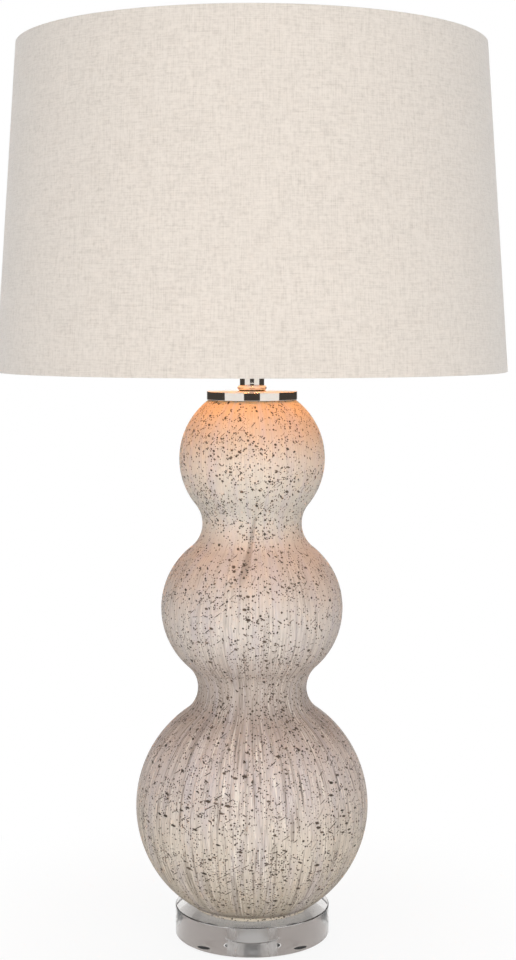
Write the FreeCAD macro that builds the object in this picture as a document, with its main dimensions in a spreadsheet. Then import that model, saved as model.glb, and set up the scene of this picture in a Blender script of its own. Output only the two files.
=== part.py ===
import FreeCAD, Part
import math
import os

import Sketcher

Vector = FreeCAD.Vector

# Table lamp: acrylic base, blown-glass body of three bulbs, polished cap and neck, socket, harp and
# drum shade. Millimetres. +Z is up, the lamp's axis is the Z axis and z = 0 is under the feet.
# The harp lies in the XZ plane, the switch knob points to the front (-Y), the cord leaves at the rear.

DRIVING_SIZES = [
    # base
    ("bumper_radius", "6.35"),
    ("bumper_height", "2.0"),
    ("bumper_taper", "0.8"),
    ("bumper_circle_radius", "56.0"),
    ("base_radius", "71.1"),
    ("base_height", "26.8"),
    ("base_bevel", "1.0"),
    ("recess_radius", "15.2"),
    ("recess_depth", "17.0"),
    ("cord_hole_radius", "5.0"),
    ("cord_hole_height", "8.0"),
    ("bushing_bore_radius", "3.4"),
    ("bushing_wall", "1.5"),
    ("bushing_barrel_length", "14.0"),
    ("bushing_flange_width", "2.2"),
    ("bushing_flange_thickness", "1.8"),
    # rod and its fasteners
    ("rod_radius", "5.1"),
    ("rod_bore_radius", "3.3"),
    ("rod_chamfer", "0.5"),
    ("rod_gap", "0.3"),
    ("thread_gap", "0.05"),
    ("rod_below_nut", "2.6"),
    ("nut_across_flats", "14.3"),
    ("nut_height", "4.8"),
    ("nut_chamfer", "0.7"),
    ("lock_washer_radius", "8.2"),
    ("lock_washer_height", "1.2"),
    ("lock_washer_split", "1.0"),
    ("base_washer_radius", "12.7"),
    ("base_washer_height", "1.6"),
    # glass body: the lower bulb's height is above the plane that its foot stands on,
    # and each rise is above the bulb below
    ("foot_ring_radius", "55.0"),
    ("foot_ring_width", "10.5"),
    ("foot_ring_round", "1.2"),
    ("kick_height", "3.0"),
    ("kick_slope_width", "5.0"),
    ("glass_floor", "5.0"),
    ("glass_wall", "3.5"),
    ("glass_hole_radius", "6.5"),
    ("lower_bulb_radius", "106.7"),
    ("lower_bulb_height", "93.5"),
    ("middle_bulb_radius", "82.7"),
    ("middle_bulb_rise", "182.9"),
    ("middle_bulb_curve", "70.8"),
    ("upper_bulb_radius", "66.1"),
    ("upper_bulb_rise", "136.9"),
    ("lower_waist_radius", "49.9"),
    ("upper_waist_radius", "45.1"),
    ("mouth_radius", "31.9"),
    ("base_gasket_radius", "18.0"),
    # cap and neck
    ("cap_gasket_flange", "2.0"),
    ("cap_gasket_plug_depth", "5.0"),
    ("cap_gasket_plug_gap", "0.4"),
    ("cap_radius", "41.1"),
    ("cap_wall", "1.1"),
    ("cap_rise", "0.6"),
    ("cap_seat_gap", "0.7"),
    ("cap_edge_bevel", "0.4"),
    ("neck_radius", "11.1"),
    ("neck_wall", "1.2"),
    ("neck_length", "44.8"),
    ("neck_ring_radius", "13.3"),
    ("neck_ring_height", "4.5"),
    ("neck_boss_height", "2.5"),
    ("neck_fit", "0.1"),
    ("neck_top_ring_radius", "12.6"),
    ("neck_top_ring_height", "2.2"),
    # harp saddle and harp
    ("saddle_width", "12.7"),
    ("saddle_thickness", "1.5"),
    ("saddle_bend", "6.0"),
    ("saddle_arm_height", "8.0"),
    ("tongue_width", "4.4"),
    ("tongue_height", "9.0"),
    ("harp_leg_offset", "32.0"),
    ("harp_half_width", "57.0"),
    ("harp_wire_radius", "1.7"),
    ("harp_leg_straight", "30.0"),
    ("harp_shoulder_curve", "60.0"),
    ("harp_top_curve", "42.0"),
    ("harp_height", "229.0"),
    ("harp_foot_radius", "2.9"),
    ("harp_foot_height", "11.0"),
    ("harp_foot_slot_gap", "0.1"),
    ("sleeve_gap", "0.2"),
    ("sleeve_wall", "0.8"),
    ("sleeve_height", "12.5"),
    ("stud_collar_radius", "5.5"),
    ("stud_collar_rise", "3.5"),
    ("stud_radius", "3.1"),
    ("stud_length", "12.7"),
    # socket
    ("socket_hub_radius", "8.0"),
    ("socket_hub_height", "5.5"),
    ("socket_cap_radius", "18.6"),
    ("socket_cap_height", "22.0"),
    ("socket_cap_dome", "7.5"),
    ("socket_wall", "0.8"),
    ("rod_above_hub", "3.5"),
    ("set_screw_radius", "1.5"),
    ("set_screw_head_radius", "2.2"),
    ("set_screw_head_height", "1.8"),
    ("socket_fit", "0.1"),
    ("socket_shell_overlap", "8.0"),
    ("socket_shell_height", "46.0"),
    ("socket_shell_wall", "0.5"),
    ("liner_wall", "0.7"),
    ("liner_short", "3.0"),
    ("socket_body_radius", "14.4"),
    ("socket_boss_height", "9.5"),
    ("socket_body_height", "20.0"),
    ("socket_body_recess_radius", "7.0"),
    ("terminal_head_radius", "3.0"),
    ("terminal_head_height", "1.2"),
    ("terminal_height", "6.0"),
    ("thread_shell_bore", "13.35"),
    ("thread_shell_wall", "0.45"),
    ("thread_shell_height", "20.0"),
    ("thread_shell_hole", "6.5"),
    ("contact_radius", "3.4"),
    ("contact_height", "1.4"),
    # switch
    ("switch_height", "12.0"),
    ("switch_shaft_radius", "1.9"),
    ("switch_hole_gap", "0.08"),
    ("switch_slot_radius", "3.6"),
    ("switch_shaft_inset", "4.0"),
    ("switch_shaft_length", "22.0"),
    ("switch_knob_radius", "6.4"),
    ("switch_knob_length", "13.0"),
    ("switch_knob_clearance", "4.0"),
    ("switch_flute_radius", "1.1"),
    ("switch_flute_count", "10"),
    # lamp bulb
    ("tip_radius", "3.0"),
    ("tip_height", "1.2"),
    ("insulator_radius", "9.2"),
    ("insulator_height", "3.0"),
    ("bulb_cap_radius", "12.9"),
    ("bulb_cap_wall", "0.4"),
    ("bulb_cap_height", "20.5"),
    ("bulb_running_gap", "0.1"),
    ("bulb_neck_radius", "12.3"),
    ("bulb_neck_inset", "3.0"),
    ("globe_radius", "30.0"),
    ("globe_height", "78.5"),
    ("globe_wall", "0.8"),
    ("stem_radius", "4.0"),
    ("stem_rim_height", "1.0"),
    ("stem_flare_height", "8.0"),
    ("stem_height", "38.0"),
    ("filament_post_height", "3.0"),
    ("filament_height", "22.0"),
    ("filament_half_width", "13.0"),
    ("filament_wire_radius", "0.45"),
    # shade
    ("shade_bottom_radius", "228.6"),
    ("shade_top_radius", "207.9"),
    ("shade_height", "286.0"),
    ("fitter_drop", "13.6"),
    ("fabric_thickness", "0.7"),
    ("lining_thickness", "0.8"),
    ("ring_wire_radius", "1.6"),
    ("ring_inset", "0.3"),
    ("arm_wire_radius", "1.6"),
    ("arm_bend", "7.0"),
    ("fitter_washer_radius", "14.0"),
    ("fitter_washer_height", "1.6"),
    ("fitter_hole_gap", "0.4"),
    # finial
    ("finial_base_radius", "6.5"),
    ("finial_base_height", "8.0"),
    ("finial_bore_gap", "0.08"),
    ("finial_stem_radius", "4.2"),
    ("finial_stem_height", "5.0"),
    ("finial_ball_radius", "11.0"),
    ("finial_end_gap", "0.8"),
]

document = FreeCAD.newDocument("table_lamp")
sheet = document.addObject("Spreadsheet::Sheet", "sizes")
for row, (alias, value) in enumerate(DRIVING_SIZES, start=1):
    sheet.set("A%d" % row, alias)
    sheet.set("B%d" % row, value)
    sheet.setAlias("B%d" % row, alias)
document.recompute()


class Size:
    """A length or count that holds both its number and the sheet expression that gives it."""

    def __init__(self, number, text):
        self.number = float(number)
        self.text = text

    def __add__(self, other):
        other = as_size(other)
        return Size(self.number + other.number, "(%s + %s)" % (self.text, other.text))

    def __sub__(self, other):
        other = as_size(other)
        return Size(self.number - other.number, "(%s - %s)" % (self.text, other.text))

    def __mul__(self, other):
        other = as_size(other)
        return Size(self.number * other.number, "(%s * %s)" % (self.text, other.text))

    def __truediv__(self, other):
        other = as_size(other)
        return Size(self.number / other.number, "(%s / %s)" % (self.text, other.text))

    def __neg__(self):
        return Size(-self.number, "(0 - %s)" % self.text)


def as_size(value):
    return value if isinstance(value, Size) else Size(value, repr(value))


def root(size):
    return Size(math.sqrt(size.number), "sqrt(%s)" % size.text)


def leg(hypotenuse, other_leg):
    """The second leg of a right triangle."""
    return root(hypotenuse * hypotenuse - other_leg * other_leg)


class Sheet:
    """Reads each alias of the sheet as a Size."""

    def __getattr__(self, alias):
        return Size(sheet.get(alias), "sizes." + alias)


s = Sheet()
ZERO = as_size(0)
HALF = "half circle"


def bind(target, path, size):
    target.setExpression(path, as_size(size).text)


def new_body(label):
    body = document.addObject("PartDesign::Body", label)
    body.Label = label
    return body


def new_sketch(body, name, role, offset=None):
    sketch = body.newObject("Sketcher::SketchObject", name)
    plane = [feature for feature in body.Origin.OriginFeatures if feature.Role == role][0]
    sketch.AttachmentSupport = [(plane, "")]
    sketch.MapMode = "FlatFace"
    if offset is not None:
        bind(sketch, "AttachmentOffset.Base.z", offset)
    return sketch


def named_constraint(sketch, name, size, *constraint):
    index = sketch.addConstraint(Sketcher.Constraint(*constraint, as_size(size).number))
    sketch.renameConstraint(index, name)
    bind(sketch, "Constraints." + name, size)


def pin_point(sketch, name, geometry, end, across, up):
    """Tie a point to its two coordinates, each a Size, or to an axis where the coordinate is zero."""
    if across is ZERO:
        sketch.addConstraint(Sketcher.Constraint("PointOnObject", geometry, end, -2))
    else:
        named_constraint(sketch, name + "_across", across, "DistanceX", -1, 1, geometry, end)
    if up is ZERO:
        sketch.addConstraint(Sketcher.Constraint("PointOnObject", geometry, end, -1))
    else:
        named_constraint(sketch, name + "_up", up, "DistanceY", -1, 1, geometry, end)


def arc_between(start, end, radius, bulge):
    """The short arc from start to end. bulge 1 swells to the right of the way along it, -1 to the left."""
    chord = end - start
    middle = (start + end) * 0.5
    normal = Vector(chord.y, -chord.x, 0).normalize()
    depth = math.sqrt(max(radius * radius - chord.Length * chord.Length / 4, 0))
    centre = middle - normal * (depth * bulge)
    first, last = (start, end) if bulge > 0 else (end, start)
    from_angle = math.atan2(first.y - centre.y, first.x - centre.x)
    to_angle = math.atan2(last.y - centre.y, last.x - centre.x)
    while to_angle < from_angle:
        to_angle += 2 * math.pi
    return Part.ArcOfCircle(Part.Circle(centre, Vector(0, 0, 1), radius), from_angle, to_angle)


def draw_outline(sketch, corners, arcs=None, prefix="p"):
    """Draw a closed outline through corners, with an arc in place of the line that starts at a corner
    listed in arcs as (radius, bulge). A half circle has HALF in place of its radius."""
    arcs = arcs or {}
    points = [Vector(as_size(x).number, as_size(y).number, 0) for x, y in corners]
    ends = []
    for index, start in enumerate(points):
        end = points[(index + 1) % len(points)]
        if index in arcs:
            radius, bulge = arcs[index]
            span = end - start
            if radius is HALF:
                geometry = sketch.addGeometry(arc_between(start, end, span.Length / 2, bulge), False)
                way = "Horizontal" if abs(span.x) > abs(span.y) else "Vertical"
                sketch.addConstraint(Sketcher.Constraint(way, geometry, 3, geometry, 1))
            else:
                geometry = sketch.addGeometry(arc_between(start, end, radius.number, bulge), False)
                named_constraint(sketch, "%s%d_curve" % (prefix, index), radius, "Radius", geometry)
            ends.append((geometry, 1, 2) if bulge > 0 else (geometry, 2, 1))
        else:
            ends.append((sketch.addGeometry(Part.LineSegment(start, end), False), 1, 2))
    for index, (geometry, start_end, _) in enumerate(ends):
        before, _, last_end = ends[index - 1]
        sketch.addConstraint(Sketcher.Constraint("Coincident", before, last_end, geometry, start_end))
        across, up = corners[index]
        pin_point(sketch, "%s%d" % (prefix, index), geometry, start_end, across, up)


def draw_circle(sketch, name, radius, across=ZERO, up=ZERO):
    centre = Vector(across.number, up.number, 0)
    circle = Part.Circle(centre, Vector(0, 0, 1), radius.number)
    geometry = sketch.addGeometry(circle, False)
    named_constraint(sketch, name + "_radius", radius, "Radius", geometry)
    if across is ZERO and up is ZERO:
        sketch.addConstraint(Sketcher.Constraint("Coincident", geometry, 3, -1, 1))
    else:
        pin_point(sketch, name, geometry, 3, across, up)


def revolve(body, sketch, name="turned"):
    turned = body.newObject("PartDesign::Revolution", name)
    turned.Profile = sketch
    turned.ReferenceAxis = (sketch, ["V_Axis"])
    turned.Angle = 360
    return turned


def turned_part(label, corners, arcs=None):
    """A piece turned about its own Z axis from a half outline of (radius, height) corners."""
    body = new_body(label)
    sketch = new_sketch(body, label + "_outline", "XZ_Plane")
    draw_outline(sketch, corners, arcs)
    revolve(body, sketch, label + "_turned")
    return body


def ring_part(label, outer, inner, low, high):
    return turned_part(label, [(inner, low), (outer, low), (outer, high), (inner, high)])


def pad(body, sketch, name, length, both_ways=False):
    padded = body.newObject("PartDesign::Pad", name)
    padded.Profile = sketch
    if both_ways:
        padded.SideType = "Symmetric"
    bind(padded, "Length", length)
    return padded


def cut_through(body, sketch, name, length=None, reversed_way=False, both_ways=False):
    """Cut a sketch into the body, and stop if nothing was cut."""
    document.recompute()
    before = body.Shape.Volume
    pocket = body.newObject("PartDesign::Pocket", name)
    pocket.Profile = sketch
    pocket.Reversed = reversed_way
    if both_ways:
        pocket.SideType = "Symmetric"
    if length is None:
        pocket.Type = "ThroughAll"
    else:
        bind(pocket, "Length", length)
    document.recompute()
    if body.Shape.Volume > before - 1e-3:
        raise RuntimeError("%s cuts nothing" % name)
    return pocket


def edge_names(shape, wanted):
    """Names of the edges that the test picks."""
    return ["Edge%d" % (index + 1) for index, edge in enumerate(shape.Edges) if wanted(edge)]


def circle_at(radius, height):
    """A test for the round edges of one radius about Z at one height."""

    def wanted(edge):
        curve = edge.Curve
        if not isinstance(curve, Part.Circle):
            return False
        return abs(curve.Radius - radius.number) < 1e-3 and abs(curve.Center.z - height.number) < 1e-3

    return wanted


def dress_edges(body, kind, name, wanted, size):
    """Fillet or chamfer the edges that any of the tests picks."""
    document.recompute()
    base = body.Tip
    names = edge_names(base.Shape, lambda edge: any(test(edge) for test in wanted))
    if not names:
        raise RuntimeError("%s found no edge" % name)
    feature = body.newObject("PartDesign::" + kind, name)
    feature.Base = (base, names)
    bind(feature, "Radius" if kind == "Fillet" else "Size", size)
    return feature


def place(body, across=None, back=None, up=None, rotation=None):
    if rotation is not None:
        body.Placement.Rotation = rotation
    for path, size in (("x", across), ("y", back), ("z", up)):
        if size is not None:
            bind(body, "Placement.Base." + path, size)


# Heights of the stack, from the feet up.
base_low = s.bumper_height
base_top = base_low + s.base_height
recess_top = base_low + s.recess_depth
washer_low = recess_top - s.base_washer_height
lock_washer_low = washer_low - s.lock_washer_height
nut_low = lock_washer_low - s.nut_height
rod_low = nut_low - s.rod_below_nut
kick_top = base_top + s.kick_height
lower_bulb_level = base_top + s.lower_bulb_height
middle_bulb_level = lower_bulb_level + s.middle_bulb_rise
upper_bulb_level = middle_bulb_level + s.upper_bulb_rise
mouth_height = upper_bulb_level + leg(s.upper_bulb_radius, s.mouth_radius)
cap_underside = mouth_height + s.cap_gasket_flange
cap_edge = cap_underside + s.cap_wall
cap_top = cap_edge + s.cap_rise
neck_ring_top = cap_top + s.neck_ring_height
neck_top = neck_ring_top + s.neck_length
saddle_low = neck_top + s.neck_top_ring_height
saddle_top = saddle_low + s.saddle_thickness
saddle_shoulder = saddle_top + s.saddle_arm_height
rod_hole = s.rod_radius + s.rod_gap
socket_floor = saddle_top + s.socket_hub_height + s.socket_wall
rod_top = socket_floor + s.rod_above_hub
shell_low = saddle_top + s.socket_cap_height - s.socket_shell_overlap
shell_top = shell_low + s.socket_shell_height
body_shoulder = socket_floor + s.socket_boss_height
body_top = body_shoulder + s.socket_body_height
switch_axis = shell_low + s.switch_height
tip_low = body_top + s.contact_height
fitter_seat = saddle_shoulder + s.harp_height
shade_top = fitter_seat + s.fitter_drop
shade_low = shade_top - s.shade_height
fitter_top = fitter_seat + s.fitter_washer_height


# Base.
def make_bumper_feet():
    body = new_body("bumper_feet")
    sketch = new_sketch(body, "bumper_outline", "XZ_Plane")
    inner = s.bumper_circle_radius
    corners = [
        (inner, ZERO),
        (inner + s.bumper_radius - s.bumper_taper, ZERO),
        (inner + s.bumper_radius, s.bumper_height),
        (inner, s.bumper_height),
    ]
    draw_outline(sketch, corners)
    turned = body.newObject("PartDesign::Revolution", "bumper_turned")
    turned.Profile = sketch
    turned.ReferenceAxis = (sketch, ["Edge4"])
    turned.Angle = 360
    document.recompute()
    pattern = body.newObject("PartDesign::PolarPattern", "bumper_pattern")
    pattern.Originals = [turned]
    pattern.Axis = (sketch, ["V_Axis"])
    pattern.Angle = 360
    pattern.Occurrences = 4
    body.Tip = pattern
    place(body, rotation=FreeCAD.Rotation(Vector(0, 0, 1), 45))


def make_acrylic_base():
    label = "acrylic_base"
    corners = [
        (s.recess_radius, base_low),
        (s.base_radius - s.base_bevel, base_low),
        (s.base_radius, base_low + s.base_bevel),
        (s.base_radius, base_top - s.base_bevel),
        (s.base_radius - s.base_bevel, base_top),
        (rod_hole, base_top),
        (rod_hole, recess_top),
        (s.recess_radius, recess_top),
    ]
    body = turned_part(label, corners)
    sketch = new_sketch(body, "cord_hole", "XZ_Plane")
    draw_circle(sketch, "cord_hole", s.cord_hole_radius, ZERO, base_low + s.cord_hole_height)
    cut_through(body, sketch, "cord_hole_cut")


def make_cord_bushing():
    barrel = s.cord_hole_radius
    flange = s.cord_hole_radius + s.bushing_flange_width
    length = s.bushing_barrel_length
    corners = [
        (s.bushing_bore_radius, -length),
        (s.bushing_bore_radius + s.bushing_wall, -length),
        (barrel, ZERO),
        (flange, ZERO),
        (flange, s.bushing_flange_thickness),
        (s.bushing_bore_radius, s.bushing_flange_thickness),
    ]
    body = turned_part("cord_bushing", corners)
    rotation = FreeCAD.Rotation(Vector(1, 0, 0), -90)
    place(body, back=s.base_radius, up=base_low + s.cord_hole_height, rotation=rotation)


def make_rod_and_fasteners():
    rod = ring_part("threaded_rod", s.rod_radius, s.rod_bore_radius, rod_low, rod_top)
    ends = [circle_at(s.rod_radius, rod_low), circle_at(s.rod_radius, rod_top)]
    dress_edges(rod, "Chamfer", "rod_ends", ends, s.rod_chamfer)

    nut = new_body("base_nut")
    sketch = new_sketch(nut, "nut_outline", "XY_Plane", nut_low)
    half = s.nut_across_flats / 2
    corner = s.nut_across_flats / math.sqrt(3)
    corners = [
        (corner, ZERO),
        (corner / 2, half),
        (-corner / 2, half),
        (-corner, ZERO),
        (-corner / 2, -half),
        (corner / 2, -half),
    ]
    draw_outline(sketch, corners)
    draw_circle(sketch, "nut_bore", s.rod_radius + s.thread_gap)
    pad(nut, sketch, "nut_pad", s.nut_height)
    chamfer = new_sketch(nut, "nut_chamfer_outline", "XZ_Plane")
    draw_outline(
        chamfer,
        [
            (corner - s.nut_chamfer, nut_low),
            (corner + s.nut_chamfer, nut_low),
            (corner + s.nut_chamfer, nut_low + s.nut_chamfer),
        ],
    )
    document.recompute()
    groove = nut.newObject("PartDesign::Groove", "nut_chamfer")
    groove.Profile = chamfer
    groove.ReferenceAxis = (chamfer, ["V_Axis"])
    groove.Angle = 360

    washer_hole = s.rod_radius + s.rod_gap
    lock = ring_part("base_lock_washer", s.lock_washer_radius, washer_hole, lock_washer_low, washer_low)
    split = new_sketch(lock, "split_outline", "XY_Plane", lock_washer_low)
    far = s.lock_washer_radius + s.lock_washer_split
    half_split = s.lock_washer_split / 2
    draw_outline(split, [(half_split, ZERO), (half_split, far), (-half_split, far), (-half_split, ZERO)])
    cut_through(lock, split, "split_cut", s.lock_washer_height, reversed_way=True)
    ring_part("base_washer", s.base_washer_radius, washer_hole, washer_low, recess_top)


# Glass body.
def tangent_waist(low_centre, low_curve, high_centre, high_curve, waist_radius):
    """Centre and radius of the arc that touches two bulb arcs from outside and comes as near to the
    axis as the waist radius, as numbers for the first drawing."""
    low_inset = low_centre.x - waist_radius
    high_inset = high_centre.x - waist_radius
    rise = high_centre.y - low_centre.y
    low_square = low_curve**2 - low_inset**2
    high_square = high_curve**2 - high_inset**2
    low_slope = 2 * (low_curve + low_inset)
    high_slope = 2 * (high_curve + high_inset)
    up = (rise**2 + low_square - high_square) / (2 * rise)
    up_slope = (low_slope - high_slope) / (2 * rise)
    first = up_slope**2
    second = 2 * up * up_slope - low_slope
    third = up**2 - low_square
    curve = 2 * third / (-second + math.sqrt(second**2 - 4 * first * third))
    return Vector(waist_radius + curve, low_centre.y + up + up_slope * curve, 0), curve


def draw_bulb_chain(sketch, name, centres, curves, waist_radii, first_point, last_point, tie_centres):
    """Draw bulb, waist, bulb, waist, bulb as tangent arcs from first_point to last_point, from low to high.

    Returns the arcs' numbers. Bulb arcs run counterclockwise, waist arcs clockwise."""
    waist_arcs = []
    for index, waist_radius in enumerate(waist_radii):
        waist_arcs.append(
            tangent_waist(
                centres[index],
                curves[index].number,
                centres[index + 1],
                curves[index + 1].number,
                waist_radius.number,
            )
        )

    def angle(centre, point):
        return math.atan2(point.y - centre.y, point.x - centre.x)

    touches = []
    for index, (middle, waist_curve) in enumerate(waist_arcs):
        for bulb in (index, index + 1):
            touches.append(centres[bulb] + (middle - centres[bulb]).normalize() * curves[bulb].number)
    normal = Vector(0, 0, 1)
    points = [first_point] + touches + [last_point]
    arcs = []
    for index in range(5):
        start, end = points[index], points[index + 1]
        if index % 2 == 0:
            centre, curve = centres[index // 2], curves[index // 2]
            circle = Part.Circle(centre, normal, curve.number)
            arc = Part.ArcOfCircle(circle, angle(centre, start), angle(centre, end))
        else:
            centre, waist_curve = waist_arcs[index // 2]
            circle = Part.Circle(centre, normal, waist_curve)
            from_angle, to_angle = angle(centre, end), angle(centre, start)
            if to_angle < from_angle:
                to_angle += 2 * math.pi
            arc = Part.ArcOfCircle(circle, from_angle, to_angle)
        geometry = sketch.addGeometry(arc, False)
        if index % 2 == 0:
            named_constraint(sketch, "%s%d_curve" % (name, index), curve, "Radius", geometry)
        arcs.append(geometry)
    for index, (across, up) in enumerate(tie_centres):
        bulb = arcs[2 * index]
        pin_point(sketch, "%s%d_centre" % (name, index), bulb, 3, across, up)
    for index in range(4):
        if index % 2 == 0:
            ends = (arcs[index], 2, arcs[index + 1], 2)
        else:
            ends = (arcs[index], 1, arcs[index + 1], 1)
        sketch.addConstraint(Sketcher.Constraint("Tangent", *ends))
    for index, waist_radius in enumerate(waist_radii):
        low_level, high_level = tie_centres[index][1], tie_centres[index + 1][1]
        low_end = Vector(waist_radius.number, low_level.number, 0)
        high_end = Vector(waist_radius.number, high_level.number, 0)
        upright = sketch.addGeometry(Part.LineSegment(low_end, high_end), True)
        pin_point(sketch, "%s_waist%d_low" % (name, index), upright, 1, waist_radius, low_level)
        pin_point(sketch, "%s_waist%d_high" % (name, index), upright, 2, waist_radius, high_level)
        sketch.addConstraint(Sketcher.Constraint("Tangent", upright, arcs[2 * index + 1]))
    return arcs


def make_glass_body():
    body = new_body("glass_body")
    sketch = new_sketch(body, "gourd_outline", "XZ_Plane")
    curves = (s.lower_bulb_radius, s.middle_bulb_curve, s.upper_bulb_radius)
    offsets = (ZERO, s.middle_bulb_radius - s.middle_bulb_curve, ZERO)
    levels = (lower_bulb_level, middle_bulb_level, upper_bulb_level)
    centres = [Vector(offset.number, level.number, 0) for offset, level in zip(offsets, levels)]
    centre_sizes = list(zip(offsets, levels))
    waists = (s.lower_waist_radius, s.upper_waist_radius)
    inner_curves = [curve - s.glass_wall for curve in curves]
    inner_waists = [radius - s.glass_wall for radius in waists]

    def height_on(curve, index, across, way):
        rise = leg(curve, across - offsets[index])
        return levels[index] + rise * way

    def across_on(curve, index, level):
        return offsets[index] + leg(curve, level - levels[index])

    foot_meets = height_on(curves[0], 0, s.foot_ring_radius, -1)
    floor_level = kick_top + s.glass_floor
    inner_mouth = across_on(inner_curves[2], 2, mouth_height)
    inner_floor = across_on(inner_curves[0], 0, floor_level)

    def at(across, level):
        return Vector(across.number, level.number, 0)

    outer = draw_bulb_chain(
        sketch,
        "outer",
        centres,
        curves,
        waists,
        at(s.foot_ring_radius, foot_meets),
        at(s.mouth_radius, mouth_height),
        centre_sizes,
    )
    inner = draw_bulb_chain(
        sketch,
        "inner",
        centres,
        inner_curves,
        inner_waists,
        at(inner_floor, floor_level),
        at(inner_mouth, mouth_height),
        centre_sizes,
    )

    rounding = s.foot_ring_round
    foot_inside = s.foot_ring_radius - s.foot_ring_width
    foot_points = [
        (s.glass_hole_radius, floor_level),
        (s.glass_hole_radius, kick_top),
        (foot_inside - s.kick_slope_width, kick_top),
        (foot_inside, base_top),
        (s.foot_ring_radius - rounding, base_top),
        (s.foot_ring_radius, base_top + rounding),
    ]
    lines = []
    starts = [at(inner_floor, floor_level)] + [at(*point) for point in foot_points]
    starts.append(at(s.foot_ring_radius, foot_meets))
    for index in range(len(starts) - 1):
        start, end = starts[index], starts[index + 1]
        if index == 5:
            geometry = sketch.addGeometry(arc_between(start, end, rounding.number, 1), False)
            named_constraint(sketch, "foot_round", rounding, "Radius", geometry)
        else:
            geometry = sketch.addGeometry(Part.LineSegment(start, end), False)
        lines.append(geometry)
    for index, (across, up) in enumerate(foot_points):
        pin_point(sketch, "foot%d" % index, lines[index], 2, across, up)
        sketch.addConstraint(Sketcher.Constraint("Coincident", lines[index], 2, lines[index + 1], 1))
    sketch.addConstraint(Sketcher.Constraint("Vertical", lines[-1]))
    sketch.addConstraint(Sketcher.Constraint("Coincident", lines[-1], 2, outer[0], 1))
    sketch.addConstraint(Sketcher.Constraint("Horizontal", lines[0]))
    sketch.addConstraint(Sketcher.Constraint("Coincident", lines[0], 1, inner[0], 1))
    rim = sketch.addGeometry(
        Part.LineSegment(at(s.mouth_radius, mouth_height), at(inner_mouth, mouth_height)), False
    )
    sketch.addConstraint(Sketcher.Constraint("Coincident", outer[-1], 2, rim, 1))
    sketch.addConstraint(Sketcher.Constraint("Coincident", inner[-1], 2, rim, 2))
    named_constraint(sketch, "rim_up", mouth_height, "DistanceY", -1, 1, rim, 1)
    sketch.addConstraint(Sketcher.Constraint("Horizontal", rim))
    revolve(body, sketch, "gourd_turned")
    return inner_mouth


def make_gaskets(inner_mouth):
    ring_part("base_gasket", s.base_gasket_radius, rod_hole, base_top, kick_top)
    plug = inner_mouth - s.cap_gasket_plug_gap
    plug_low = mouth_height - s.cap_gasket_plug_depth
    flange = inner_mouth + s.glass_wall
    corners = [
        (rod_hole, plug_low),
        (plug, plug_low),
        (plug, mouth_height),
        (flange, mouth_height),
        (flange, cap_underside),
        (rod_hole, cap_underside),
    ]
    turned_part("cap_gasket", corners)


# Cap and neck.
def make_vase_cap():
    skirt_inside = s.cap_radius - s.cap_wall
    shoulder = upper_bulb_level + leg(s.upper_bulb_radius, skirt_inside)
    skirt_low = shoulder + s.cap_seat_gap
    corners = [
        (rod_hole, cap_underside),
        (skirt_inside, cap_underside),
        (skirt_inside, skirt_low),
        (s.cap_radius, skirt_low),
        (s.cap_radius, cap_edge),
        (s.neck_ring_radius, cap_top),
        (rod_hole, cap_top),
    ]
    body = turned_part("vase_cap", corners)
    rims = [circle_at(s.cap_radius, cap_edge)]
    dress_edges(body, "Chamfer", "cap_edge_bevel", rims, s.cap_edge_bevel)


def make_neck():
    bore = s.neck_radius - s.neck_wall
    boss = bore - s.neck_fit
    bead = s.neck_ring_height / 2
    bead_start = s.neck_ring_radius - bead
    corners = [
        (rod_hole, cap_top),
        (bead_start, cap_top),
        (bead_start, neck_ring_top),
        (boss, neck_ring_top),
        (boss, neck_ring_top + s.neck_boss_height),
        (rod_hole, neck_ring_top + s.neck_boss_height),
    ]
    turned_part("neck_ring", corners, {1: (HALF, 1)})
    ring_part("neck_tube", s.neck_radius, bore, neck_ring_top, neck_top)
    half_ring = s.neck_top_ring_height / 2
    ring_start = s.neck_top_ring_radius - half_ring
    corners = [
        (rod_hole, neck_top - s.neck_boss_height),
        (boss, neck_top - s.neck_boss_height),
        (boss, neck_top),
        (ring_start, neck_top),
        (ring_start, saddle_low),
        (rod_hole, saddle_low),
    ]
    turned_part("neck_top_ring", corners, {3: (HALF, 1)})


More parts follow.
